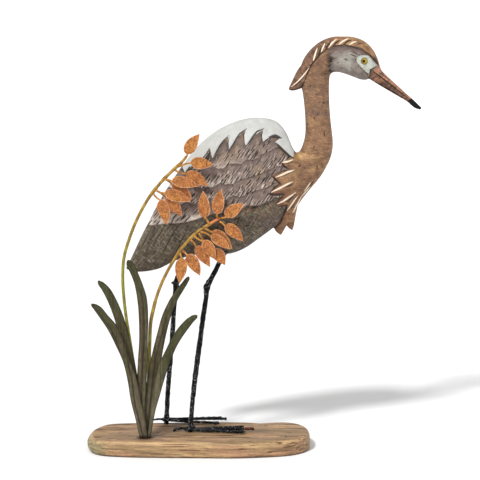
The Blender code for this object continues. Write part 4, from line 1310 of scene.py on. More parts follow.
def paint_heron(item, normals, settings):
    """Paint the heron's fields, and note on each point what its finish lays over them."""
    mesh = item.data
    places = read_places(mesh)
    flat = places[:, [0, 2]]
    x, z = flat.T
    fields = heron_fields(places)
    rows = wing_rows(flat, places, settings)
    facing = smoothstep(0.08, 0.35, np.abs(normals[:, 1]))
    # rim is high where the surface turns edge-on to the side view; it paints shade along the silhouettes.
    rim = smoothstep(0.42, 0.0, np.abs(normals[:, 1]))
    body = smoothstep(-0.5, 0.5, fields["body"])
    wing = smoothstep(-0.5, 0.5, fields["wing"]) * body * (fields["mantle"] < 0.5)
    cap = smoothstep(-0.5, 0.5, fields["cap"]) * (z > HEAD_BOTTOM)
    cheek = smoothstep(-0.8, 0.8, fields["cheek"]) * (z > HEAD_BOTTOM)
    bill = smoothstep(-0.5, 0.5, fields["bill"])

    paint = flat_paint(settings.neck, len(places))
    blotch = smooth_noise(places, 16.0, 5)
    fleck = smooth_noise(places, (5.0, 5.0, 2.4), 6)
    smudge = smooth_noise(places, (9.0, 9.0, 5.0), 7)
    blend_paint(paint, settings.neck_low, smoothstep(345, 300, z) * (0.6 + 0.4 * blotch))
    blend_paint(paint, settings.wing_shade, 0.3 * smoothstep(402, 415, z) * smoothstep(0.3, 0.8, smudge))
    band = z - 403.5 + 0.12 * (x - 141) - 2.5 * (smudge - 0.5)
    blend_paint(paint, settings.wing_shade, 0.42 * smoothstep(-0.8, 0.8, band) * smoothstep(9, 3, band))
    blend_paint(
        paint, settings.nape, 0.35 * np.exp(-((band - 10) / 2.5) ** 2) * smoothstep(0.4, 0.8, fleck))
    blend_paint(paint, settings.cap, 0.3 * smoothstep(395, 370, z) * smoothstep(340, 360, z) * blotch)
    blend_paint(paint, settings.nape, 0.3 * smoothstep(0.5, 0.85, smudge) * (z < 400))
    nape = np.exp(-((x - 121) / 12) ** 2 - ((z - 355.5) / 5) ** 2)
    blend_paint(paint, settings.nape, nape * (0.55 + 0.6 * fleck))
    blend_paint(paint, settings.burnt_and_shade, 0.28 * smoothstep(0.6, 0.85, fleck))
    blend_paint(paint, settings.rust, 0.4 * smoothstep(0.55, 0.9, blotch) * smoothstep(330, 300, z))
    valley = smoothstep(7, 0.5, -fields["body"]) * (z < 350)
    blend_paint(paint, settings.plume_shade, 0.75 * valley * (0.5 + 0.5 * smudge))
    # Painted shade along the neck's and head's silhouette rims.
    blend_paint(paint, settings.burnt_and_shade, 0.62 * rim * (z > 352) * (x < 204))
    paint_body(paint, flat, places, fields, rows, settings)

    blend_paint(paint, settings.cheek, cheek)
    blend_paint(paint, settings.eye_ring, 0.35 * cheek * smoothstep(0.5, 0.85, smudge))
    blend_paint(paint, settings.wing_shade, 0.65 * cheek * smoothstep(464, 446, z) * (0.4 + 0.6 * fleck))
    shade = np.exp(-((fields["cheek"] - 0.5) / 3.4) ** 2) * (x < 164) * (z > 440)
    bristles = smooth_noise(places @ rotation_y(20), (5.0, 3.0, 1.6), 9)
    blend_paint(paint, settings.burnt_and_shade, shade * smoothstep(0.2, 0.5, bristles))
    brow = cheek * smoothstep(-10, -4, fields["cap"] + 4 * (bristles - 0.5))
    brow *= smoothstep(146, 158, x) * smoothstep(206, 198, x)
    blend_paint(paint, settings.brow, 0.9 * brow)
    blend_paint(paint, settings.burnt_and_shade, 0.6 * brow * smoothstep(-4, 0, fields["cap"]))
    blend_paint(paint, settings.cap, cap)
    blend_paint(paint, settings.cap_shade, 0.85 * cap * smoothstep(168, 140, x))
    blend_paint(paint, settings.nape, 0.3 * cap * smoothstep(155, 175, x) * smoothstep(0.35, 0.7, smudge))
    blend_paint(paint, settings.wing_shade, 0.3 * cap * smoothstep(0.4, 0.8, blotch))
    barbs = smooth_noise(places @ rotation_y(-50), (12.0, 3.0, 1.5), 14)
    blend_paint(paint, settings.burnt_and_shade, 0.45 * cap * smoothstep(0.5, 0.8, barbs) * smoothstep(180, 150, x))
    blend_paint(paint, settings.burnt_and_shade, 0.4 * cap * smoothstep(0.55, 0.85, fleck))
    # Painted shade along the cap's silhouette rims.
    blend_paint(paint, settings.burnt_and_shade, 0.5 * cap * rim)

    beak = flat_paint(settings.bill_bottom, len(places))
    blend_paint(beak, settings.bill_top, smoothstep(-0.4, 0.4, fields["bill_top"]))
    streaky = smooth_noise(places @ rotation_y(38), (14.0, 3.0, 1.4), 12)
    blend_paint(beak, settings.bill_top, 0.6 * smoothstep(0.5, 0.8, streaky))
    blend_paint(beak, settings.wing_shade, 0.7 * smoothstep(0.5, 0.2, streaky))
    flaky = smooth_noise(places @ rotation_y(38), (6.0, 2.0, 1.2), 13)
    blend_paint(beak, settings.burnt_and_shade, 0.6 * smoothstep(0.62, 0.85, flaky))
    # Painted shade along the bill's upper and lower edges.
    blend_paint(beak, settings.burnt_and_shade, 0.6 * rim)
    paint += (beak - paint) * bill[:, None]
    blend_paint(
        paint, settings.rust, 0.6 * smoothstep(0.35, 0.7, stroke_share(flat, RUST_STROKES)) * facing)
    # Painted shade: the body's downward-facing surfaces are darkened.
    underside = smoothstep(-0.45, -0.95, normals[:, 2]) * (z < 300)
    blend_paint(paint, settings.burnt_and_shade, 0.55 * underside)

    write_paint(mesh, np.clip(paint, 0.0, 1.0))
    bare = 1 - np.maximum(body, cheek)
    mantle = smoothstep(-0.5, 0.5, fields["mantle"])
    write_share(
        mesh, "chisel", 0.8 * wing * (0.35 + 0.65 * facing) + 0.3 * body * (1 - wing) * (1 - mantle))
    write_share(mesh, "grain", np.clip(0.75 * bare + 0.08, 0, 1))
    write_share(mesh, "scratch", body * (1 - wing) * (1 - mantle))
    write_share(mesh, "cut", rows["cut"] * wing)
    write_share(mesh, "ridge", rows["ridge"] * wing * (0.86 + 0.14 * smoothstep(0.2, 0.9, rows["down"])))
    write_share(mesh, "burnt_and_shade", stroke_share(flat, BURNT_AND_SHADOW_STROKES) * facing)
    write_share(mesh, "cream", stroke_share(flat, CREAM_STROKES) * facing)
    for name in ("mantle", "eye_ring", "bill_tip"):
        write_share(mesh, name, np.clip(fields[name], -3.0, 3.0))


def rotation_y(degrees):
    """Matrix that turns row vectors about Y."""
    c, s = math.cos(math.radians(degrees)), math.sin(math.radians(degrees))
    return np.array([[c, 0, -s], [0, 1, 0], [s, 0, c]])


class HERONDECOY_OT_heron(Operator):
    """Carve and paint the heron"""

    bl_idname = "heron_decoy.heron"
    bl_label = "Heron"

    def execute(self, context):
        settings = settings_for(context, "heron")
        shells = [spoke_shell(HERON_SPOKES, 8, 96), spoke_shell(CREST_SPOKES, 6, 48)]
        shells += [spoke_shell(spokes, 6, 48) for spokes in PLUME_SPOKES]
        item = fuse_shells("carved_heron", shells, settings.voxel)
        relax(item.data, 3)
        smooth_places, smooth_normals = carve_heron(item, settings)
        thin_out(item, settings.kept)
        normals = nearest_values(read_places(item.data), smooth_places, smooth_normals)
        paint_heron(item, normals, settings)
        finish_piece(item, carved_paint_finish(settings), "heron")
        return {"FINISHED"}


def glass_eye_finish():
    """Painted iris and pupil under clear glass."""
    material, tree, shader = new_finish(
        "glass_eye", 0.2, Specular_IOR_Level=0.15, Coat_Weight=0.1, Coat_Roughness=0.08)
    paint = attribute(tree, "paint", "Color")
    fibres = noise(tree, (0.35, 0.35, 0.35), 3.0, 0.7)
    flecked = pattern_over(tree, 0.6, paint, fibres, (0.3, 0.34), (0.7, 0.62))
    tree.links.new(flecked, shader.inputs["Base Color"])
    tree.links.new(spread(tree, fibres, 0.06, 0.2), shader.inputs["Roughness"])
    return material


class HERONDECOY_OT_eyes(Operator):
    """Set the two glass eyes"""

    bl_idname = "heron_decoy.eyes"
    bl_label = "Eyes"

    def execute(self, context):
        settings = settings_for(context, "eyes")
        finish = glass_eye_finish()
        radius = settings.radius / MM
        for side, node in ((-1, "right_eye"), (1, "left_eye")):
            low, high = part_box(node)
            outermost = (low.y if side < 0 else high.y) / MM
            sides = 48
            angle = np.linspace(0, 2 * np.pi, sides, endpoint=False) * -side
            sections = []
            for share, sink in EYE_PROFILE:
                sections.append(np.column_stack([
                    EYE_CENTRE[0] + radius * share * np.cos(angle),
                    np.full(sides, outermost - side * sink),
                    EYE_CENTRE[1] + radius * share * np.sin(angle),
                ]))
            places, faces = loft_shell(sections)
            item = mesh_object(node.replace("eye", "glass_eye"), places, faces)
            x, z = places[:, 0] - EYE_CENTRE[0], places[:, 2] - EYE_CENTRE[1]
            paint = flat_paint(settings.iris, len(places))
            blend_paint(paint, settings.iris_edge, smoothstep(0.66, 0.95, np.hypot(x, z) / radius))
            pupil = np.hypot(x + PUPIL_SHIFT, z) - settings.pupil_radius / MM
            blend_paint(paint, settings.iris_edge, smoothstep(1.2, 0.2, pupil))
            blend_paint(paint, settings.pupil, smoothstep(0.25, -0.25, pupil))
            write_paint(item.data, paint)
            finish_piece(item, finish, node)
        return {"FINISHED"}


def board_finish(settings):
    """Oiled softwood with long wavy rings and cracks, darker and pinker on the top face."""
    material, tree, shader = new_finish("oiled_board_wood", 0.55, Specular_IOR_Level=0.3)
    drift = noise(tree, (80.0, 34.0, 16.0), 2.0, 0.5)
    waver = noise(tree, (24.0, 12.0, 6.0), 3.0, 0.5)
    parts = add_node(tree, "ShaderNodeSeparateXYZ", {
        "Vector": texture_place(tree, (1.0, 1.0, 1.0), centre=(0, 70, -95)),
    })
    squares = [calculate(tree, "POWER", parts.outputs[axis], 2.0) for axis in ("Y", "Z")]
    radius = calculate(tree, "SQRT", calculate(tree, "ADD", *squares))
    bend = calculate(tree, "ADD", spread(tree, drift, -17.0, 17.0), spread(tree, waver, -3.5, 3.5))
    phase = calculate(tree, "FRACT", calculate(
        tree, "DIVIDE", calculate(tree, "ADD", radius, bend), settings.ring_width / MM))
    ring = ramp(tree, phase, (0.0, 0.0), (0.5, 0.25), (0.84, 1.0), (0.96, 0.1))
    patchy = noise(tree, (45.0, 18.0, 12.0), 3.0)
    ring_strength = product(tree, ring, ramp(tree, patchy, (0.36, 0.2), (0.62, 1.0)))
    bands = noise(tree, (110.0, 15.0, 4.5), 3.0, 0.55, 0.4, turn=(0, 0, 2))
    streaks = noise(tree, (46.0, 8.0, 2.4), 4.0, 0.66, 0.5, turn=(0, 1.5, -1))
    cracks = noise(tree, (52.0, 7.0, 2.0), 3.0, 0.55, 0.9, centre=(7, 3, 2))
    fine = noise(tree, (4.0, 0.9, 0.6), 3.0, 0.6)
    cloud = noise(tree, (38.0, 22.0, 15.0), 3.0, 0.55, centre=(11, 5, 0))
    wood = mix(tree, ring_strength, settings.light, settings.dark)
    tinted = mix(tree, ramp(tree, cloud, (0.45, 0.0), (0.62, 0.6)), wood, settings.pink)
    green = calculate(
        tree, "MAXIMUM", ramp(tree, cloud, (0.3, 0.55), (0.44, 0.0)), attribute(tree, "end"))
    greened = mix(tree, green, tinted, settings.grey)
    # Darker, browner top face.
    darker_top = mix(tree, attribute(tree, "top"), greened, mix(tree, 0.5, greened, settings.top))
    # Painted highlight: paler wood along the rounded top edges.
    eased = mix(tree, product(tree, attribute(tree, "edge"), 0.75), darker_top, settings.rubbed)
    banded = pattern_over(tree, 0.9, eased, bands, (0.35, 0.34), (0.62, 0.6))
    streaked = pattern_over(tree, 0.9, banded, streaks, (0.32, 0.26), (0.5, 0.5), (0.68, 0.68))
    cracked = mix(tree, ramp(tree, cracks, (0.585, 0.0), (0.625, 0.85)), streaked, settings.deep)
    dusty = pattern_over(tree, 0.6, cracked, fine, (0.35, 0.36), (0.65, 0.62))
    stained = mix(tree, attribute(tree, "stain"), dusty, settings.stain)
    tree.links.new(stained, shader.inputs["Base Color"])
    tree.links.new(spread(tree, streaks, 0.42, 0.75), shader.inputs["Roughness"])
    fibres = bump(tree, fine, 0.3, 0.6)
    cracks_cut = bump(tree, ramp(tree, cracks, (0.57, 1.0), (0.65, 0.0)), 0.5, 0.8, fibres)
    tree.links.new(bump(tree, ring, 0.35, 0.5, cracks_cut), shader.inputs["Normal"])
    return material


def outline_rings(outline, levels):
    """Rings of a closed outline at heights, each drawn in by its inset."""
    ring = catmull_rom([*outline[-1:], *outline, *outline[:2]], 6)[6:-7]
    ahead = np.roll(ring, -1, axis=0) - np.roll(ring, 1, axis=0)
    inward = np.column_stack([-ahead[:, 1], ahead[:, 0]]) / np.linalg.norm(ahead, axis=1)[:, None]
    return [
        np.column_stack([ring + inward * inset, np.full(len(ring), height)]) for height, inset in levels
    ]


def oval_hole(centre, across, low, high, sides=32):
    angle = np.linspace(0, 2 * np.pi, sides, endpoint=False)
    ring = np.column_stack([
        centre[0] + across[0] / 2 * np.cos(angle), centre[1] + across[1] / 2 * np.sin(angle),
        np.zeros(sides),
    ])
    return loft_shell([ring + (0, 0, low), ring + (0, 0, high)])


class HERONDECOY_OT_board(Operator):
    """Cut the wooden board, ease its edges and sink the grass's hole"""

    bl_idname = "heron_decoy.board"
    bl_label = "Board"

    def execute(self, context):
        settings = settings_for(context, "board")
        holes = [
            oval_hole(GRASS_HOLE, GRASS_HOLE_ACROSS, *HOLE_HEIGHTS),
            oval_hole(LEG_HOLE, LEG_HOLE_ACROSS, *HOLE_HEIGHTS),
        ]
        slab = loft_shell(outline_rings(BOARD_OUTLINE, BOARD_EDGE))
        item = fuse_shells("board_slab", [slab], settings.voxel, holes)
        relax(item.data, 2)
        places, normals = read_places(item.data), read_normals(item.data)
        x, y, z = places.T
        side = smoothstep(0.9, 0.3, np.abs(normals[:, 2]))
        up = (1 - side) * (normals[:, 2] > 0)
        hollow = 0.8 * side * smooth_noise(places, (38.0, 25.0, 9.0), 41)
        hollow += 0.4 * up * smoothstep(44, 30, y) * smooth_noise(places, (30.0, 16.0, 20.0), 42)
        hollow += 0.25 * smooth_noise(places, (14.0, 4.0, 3.0), 43)
        hollow += 0.3 * up * smoothstep(0.62, 0.75, smooth_noise(places, (60.0, 1.8, 4.0), 46))
        for knot_x, knot_y, radius in BOARD_KNOTS:
            hollow += 0.5 * up * smoothstep(radius, radius * 0.4, np.hypot(x - knot_x, y - knot_y))
        hollow *= z > 0.4
        places = places - normals * hollow[:, None]
        rounding = smoothstep(-100, -134, x) * np.clip(np.abs(z - 9) / 11, 0, 1) ** 2.4
        places[:, 0] += 5.0 * rounding
        places[:, 2] -= 2.6 * smoothstep(-88, -130, x) * smoothstep(12, -12, y) * smoothstep(10, 20, z)
        write_places(item.data, places)

        gap = np.hypot((x - GRASS_HOLE[0]) / 1.25, y - GRASS_HOLE[1] + 1.5)
        stain = 0.92 * smoothstep(9.5, 6.2, gap + 2.0 * (smooth_noise(places, 3.0, 44) - 0.5))
        near_hole = smoothstep(44, 8, np.hypot((x + 56) / 1.9, y + 30))
        smear = near_hole * smooth_noise(places, (12.0, 3.0, 4.0), 45)
        stain += 0.6 * smear * smoothstep(0.3, 0.7, smooth_noise(places, (20.0, 3.5, 4.0), 47))
        stain += 0.7 * smoothstep(6.5, 3.0, np.hypot(x - LEG_HOLE[0], y - LEG_HOLE[1]))
        for knot_x, knot_y, radius in BOARD_KNOTS:
            knot_gap = np.hypot((x - knot_x) / 1.5, y - knot_y)
            stain += 0.7 * smoothstep(radius * 1.1, radius * 0.5, knot_gap)
            stain += 0.25 * np.exp(-((knot_gap - 2.6 * radius) / 0.7) ** 2)
        top_stain = np.clip(stain, 0, 1) * (z > 12)
        # Painted contact shadow along the board's foot, kept in the stain share.
        foot = 0.75 * smoothstep(3.0, 0.6, z + 0.8 * smooth_noise(places, (9.0, 9.0, 9.0), 48))
        write_share(item.data, "stain", np.maximum(top_stain, foot))
        write_share(item.data, "top", smoothstep(0.6, 0.97, normals[:, 2]))
        # Painted highlight along the rounded top edges.
        write_share(item.data, "edge", np.exp(-((normals[:, 2] - 0.6) / 0.3) ** 2))
        write_share(item.data, "end", 0.95 * smoothstep(-104, -128, x) * (1 - up))
        finish_piece(item, board_finish(settings), "board")
        return {"FINISHED"}


def hammered_finish(settings):
    """Black enamel over hammered rod, with pale specks painted in as glints on the hammered facets."""
    material, tree, shader = new_finish("hammered_black_rod", 0.35, Specular_IOR_Level=0.1)
    dents = add_node(tree, "ShaderNodeTexVoronoi", {
        "Vector": texture_place(tree, (2.4, 2.4, 3.4)), "Scale": 1.0, "Randomness": 1.0,
    }, feature="SMOOTH_F1").outputs["Distance"]
    grit = noise(tree, (0.6, 0.6, 0.9), 3.0, 0.7)
    chips = noise(tree, (0.8, 0.8, 1.3), 1.0, 0.5, centre=(4, 9, 2))
    patches = noise(tree, (9.0, 9.0, 16.0), 2.0)
    # Painted glints: pale specks on the hammered facets.
    glint_specks = product(
        tree, ramp(tree, chips, (0.63, 0.0), (0.67, 0.95)), ramp(tree, patches, (0.42, 0.1), (0.58, 1.0)))
    dull = [part * 0.5 for part in settings.steel]
    tarnish = mix(tree, ramp(tree, patches, (0.35, 0.0), (0.8, 1.0)), settings.steel, dull)
    clawed = mix(tree, attribute(tree, "claw"), tarnish, settings.claw)
    # The pale specks are painted glints.
    rubbed = mix(tree, glint_specks, clawed, settings.glint_specks)
    tree.links.new(rubbed, shader.inputs["Base Color"])
    tree.links.new(spread(tree, glint_specks, 0.0, 0.2), shader.inputs["Metallic"])
    tree.links.new(spread(tree, grit, 0.25, 0.55), shader.inputs["Roughness"])
    gritty = bump(tree, grit, 0.12, 0.6)
    tree.links.new(bump(tree, dents, 0.6, 0.8, gritty), shader.inputs["Normal"])
    return material


class HERONDECOY_OT_legs(Operator):
    """Weld the two legs from hammered rod"""

    bl_idname = "heron_decoy.legs"
    bl_label = "Legs"

    def execute(self, context):
        settings = settings_for(context, "legs")
        finish = hammered_finish(settings)
        for name, rod, toes, welds in (
            ("right_leg", RIGHT_LEG_ROD, RIGHT_TOES, RIGHT_WELDS),
            ("left_leg", LEFT_LEG_ROD, LEFT_TOES, LEFT_WELDS),
        ):
            shells = [rod_shell([(*place, size + ENAMEL_THICKNESS) for *place, size in rod])]
            for toe in toes:
                shells.append(
                    rod_shell([(*place, size) for place, size in zip(toe, TOE_SIZES[len(toe)])]))
            shells += [lump_shell(centre, radii) for centre, radii in welds]
            item = fuse_shells(f"hammered_{name}", shells, settings.voxel)
            relax(item.data, 2)
            places, normals = read_places(item.data), read_normals(item.data)
            dents = smooth_noise(places, (2.6, 2.6, 3.6), 51) - 0.5
            dents += 0.5 * (smooth_noise(places, 1.2, 52) - 0.5)
            places += normals * (settings.hammer_depth / MM * 2 * dents)[:, None]
            write_places(item.data, hold_inside(places, name))
            claw = smoothstep(53.5, 55, places[:, 0]) * (places[:, 1] < 10) * (places[:, 2] < 30)
            write_share(item.data, "claw", 0.95 * claw)
            finish_piece(item, finish, name)
        return {"FINISHED"}


def ribbon(centres, sides, thickness, half_widths):
    """A sheet as a closed shell with rounded rims.

    centres is rows of places across the sheet; sides holds each place's share across, from -1 to 1.
    """
    down = np.gradient(centres, axis=0)
    across = np.gradient(centres, axis=1)
    normal = np.cross(across, down)
    normal /= np.maximum(np.linalg.norm(normal, axis=2), 1e-9)[:, :, None]
    rim = np.sqrt(np.clip(1 - np.abs(sides) ** 5, 0.0, 1.0))
    rim = np.maximum(rim, 0.12)
    half = np.minimum(thickness / 2, 0.9 * half_widths)[:, None, None] * rim[None, :, None]
    front = centres + normal * half
    back = centres - normal * half
    return loft_shell(np.concatenate([front, back[:, ::-1]], axis=1))


def sheet_metal_finish(name, roughness, metallic, gloss=0.5):
    """Satin paint on sheet metal: brushed mottling, small specks and a fine orange-peel skin."""
    material, tree, shader = new_finish(name, roughness, Metallic=metallic, Specular_IOR_Level=gloss)
    paint = attribute(tree, "paint", "Color")
    mottle = noise(tree, (4.0, 4.0, 7.0), 4.0, 0.65)
    peel = noise(tree, (0.8, 0.8, 0.8), 2.0)
    mottled = pattern_over(tree, 0.85, paint, mottle, (0.3, 0.28), (0.7, 0.66))
    skin = pattern_over(tree, 0.45, mottled, peel, (0.3, 0.34), (0.7, 0.64))
    tree.links.new(skin, shader.inputs["Base Color"])
    tree.links.new(spread(tree, mottle, roughness - 0.12, roughness + 0.14), shader.inputs["Roughness"])
    peeled = bump(tree, peel, 0.1, 0.5)
    tree.links.new(bump(tree, mottle, 0.35, 0.5, peeled), shader.inputs["Normal"])
    return material


class HERONDECOY_OT_grass(Operator):
    """Fold and paint the five blades of grass"""

    bl_idname = "heron_decoy.grass"
    bl_label = "Grass"

    def execute(self, context):
        settings = settings_for(context, "grass")
        finish = sheet_metal_finish("olive_painted_sheet", 0.55, 0.0, 0.2)
        for number, (name, (layer, lean, edges)) in enumerate(GRASS_BLADES.items()):
            self.build_blade(settings, finish, name, layer, lean, edges, number)
        return {"FINISHED"}

    def build_blade(self, settings, finish, name, layer, lean, edges, number):
        rows = catmull_rom([(*left, *right) for left, right in edges], 9)
        left, right = rows[:, :2], rows[:, 2:]
        middle = (left + right) / 2
        reach = np.concatenate([[0], np.cumsum(np.linalg.norm(np.diff(middle, axis=0), axis=1))])
        end_width = np.linalg.norm(right[-1] - left[-1])
        to_tip = (reach[-1] - reach) / (end_width * 0.9)
        round_tip = np.sqrt(np.clip(1 - np.clip(1 - to_tip, 0, 0.97) ** 2, 0, 1))[:, None]
        left, right = middle + (left - middle) * round_tip, middle + (right - middle) * round_tip
        width = np.linalg.norm(right - left, axis=1)

        line, browns, rims = BLADE_CREASES[name]
        share = reach / reach[-1]
        stops, crossings, marks = np.array(line).T
        crease = np.interp(share, stops, crossings)
        mark = np.interp(share, stops, marks)
        bend = np.convolve(np.pad(crease, 8, "edge"), np.full(17, 1 / 17), "valid")
        sides = np.linspace(-1, 1, 25)
        across = (sides + 1) / 2
        flat = left[:, None] + (right - left)[:, None] * across[None, :, None]
        tip_z = edges[-1][0][1]
        up = np.clip((middle[:, 1] - BLADE_FOOT) / (tip_z - BLADE_FOOT), 0, 1)
        from_crease = np.where(
            across[None] < bend[:, None], 1 - across[None] / bend[:, None],
            (across[None] - bend[:, None]) / (1 - bend[:, None]))
        fold = settings.fold / MM * np.minimum(1.0, width / 9)[:, None] * (1 - from_crease)
        depth = layer + (lean * up**2)[:, None] - fold
        centres = np.dstack([flat[:, :, 0], depth, flat[:, :, 1]])
        places, faces = ribbon(centres, sides, settings.thickness / MM, width / 2)
        item = mesh_object(name.replace("grass_blade", "painted_blade"), places, faces)

        both = np.concatenate([across, across[::-1]])
        along = np.repeat(share, len(both))
        row_crease = np.repeat(crease, len(both))
        row_width = np.repeat(width, len(both))
        column = np.tile(both, len(share))
        paint = flat_paint(settings.olive, len(places))
        low = smoothstep(0.95, 0.6, along)
        brown = np.where(column < row_crease, browns[0], browns[1]) * low
        blend_paint(
            paint, settings.middle, brown * smoothstep(0.0, 0.25, column) * smoothstep(1.0, 0.75, column))
        streak = smooth_noise(places, (1.3, 30.0, 42.0), 60 + number)
        blend_paint(paint, settings.edge, 0.4 * smoothstep(0.5, 0.85, streak))
        blend_paint(paint, settings.dry, 0.4 * low * smoothstep(0.45, 0.15, streak))
        # Painted light: the blades are paler toward their feet, lifting the shade there.
        blend_paint(paint, settings.dry, 0.4 * smoothstep(105, 60, places[:, 2]))
        # Painted shade along the crease.
        crease_gap = np.abs(column - row_crease) * row_width
        darkness = 0.92 * np.repeat(mark, len(both))
        blend_paint(paint, settings.crease, darkness * np.exp(-(crease_gap / 0.85) ** 2))
        rim_gap = np.minimum(column, 1 - column) * row_width
        upper = smoothstep(110, 125, places[:, 2])
        rim = np.where(column < 0.5, rims[0], rims[1])
        rim = rim + (0.9 - rim) * upper
        blend_paint(paint, settings.edge, rim * np.exp(-(rim_gap / 0.9) ** 2))
        blend_paint(paint, settings.foot, smoothstep(24.5, 21, places[:, 2]))
        write_paint(item.data, paint)
        finish_piece(item, finish, name)


class HERONDECOY_OT_stems(Operator):
    """Bend the two wire stems"""

    bl_idname = "heron_decoy.stems"
    bl_label = "Stems"

    def execute(self, context):
        settings = settings_for(context, "stems")
        finish = sheet_metal_finish("ochre_painted_wire", 0.42, 0.15)
        for name, route in STEMS.items():
            rows = catmull_rom(route, 10)
            radius = settings.radius / MM
            size = np.full(len(rows), radius)
            for start, *_ in LEAVES[name]:
                gap = np.hypot(rows[:, 0] - start[0], rows[:, 2] - start[1])
                size += 0.4 * np.exp(-(gap / 2.5) ** 2)
            size = np.minimum(size, radius * 1.2)
            if name == "low_stem":
                size += LOW_STEM_SWELL * (rows[:, 2] < LOW_STEM_SWELL_TOP)
            size[-12:] *= np.linspace(1.0, 0.7, 12)
            places, faces = rod_shell(np.column_stack([rows, size]), sides=16, steps=2)
            item = mesh_object(f"painted_{name}", places, faces)
            paint = flat_paint(settings.ochre, len(places))
            z = places[:, 2]
            tall = name == "tall_stem"
            foot = smoothstep(330, 215, z) if tall else 0.8 * smoothstep(215, 140, z)
            blend_paint(paint, settings.green, foot)
            blend_paint(paint, settings.green, 0.35 * smooth_noise(places, 8.0, 71))
            rubbed = smoothstep(0.35, 0.75, smooth_noise(places, (3.0, 3.0, 5.0), 72))
            blend_paint(paint, settings.shade, 0.5 * rubbed)
            # Painted shade along each stem's flanks as seen from the side.
            near_side = np.abs(read_normals(item.data)[:, 1])
            blend_paint(paint, settings.shade, 0.7 * smoothstep(0.6, 0.1, near_side))
            if not tall:
                blend_paint(paint, settings.tip, smoothstep(274, 281, z))
            write_paint(item.data, paint)
            finish_piece(item, finish, name)
        return {"FINISHED"}


def leaf_finish(settings):
    """Coppery orange leaf paint with mottling, golden smears and scattered dark specks."""
    material = sheet_metal_finish("copper_leaf", 0.5, 0.1, 0.35)
    tree = material.node_tree
    shader = tree.nodes["Principled BSDF"]
    base = shader.inputs["Base Color"].links[0].from_socket
    smears = noise(tree, (3.2, 3.2, 3.2), 4.0, 0.7, centre=(9, 2, 4))
    grain = noise(tree, (1.4, 1.4, 1.4), 3.0, 0.7)
    blade = attribute(tree, "leaf")
    gold = product(tree, ramp(tree, smears, (0.5, 0.0), (0.62, 0.7)), blade)
    gilded = mix(tree, gold, base, settings.gold)
    red = product(tree, ramp(tree, smears, (0.36, 0.6), (0.46, 0.0)), blade)
    reddened = mix(tree, red, gilded, settings.deep)
    grainy = pattern_over(tree, 0.85, reddened, grain, (0.32, 0.12), (0.5, 0.46), (0.68, 0.76))
    specks = noise(tree, (1.3, 1.3, 1.3), 1.0, centre=(31, 7, 12))
    share = product(tree, ramp(tree, specks, (0.63, 0.0), (0.68, 0.95)), blade)
    tree.links.new(mix(tree, share, grainy, settings.speck), shader.inputs["Base Color"])
    return material


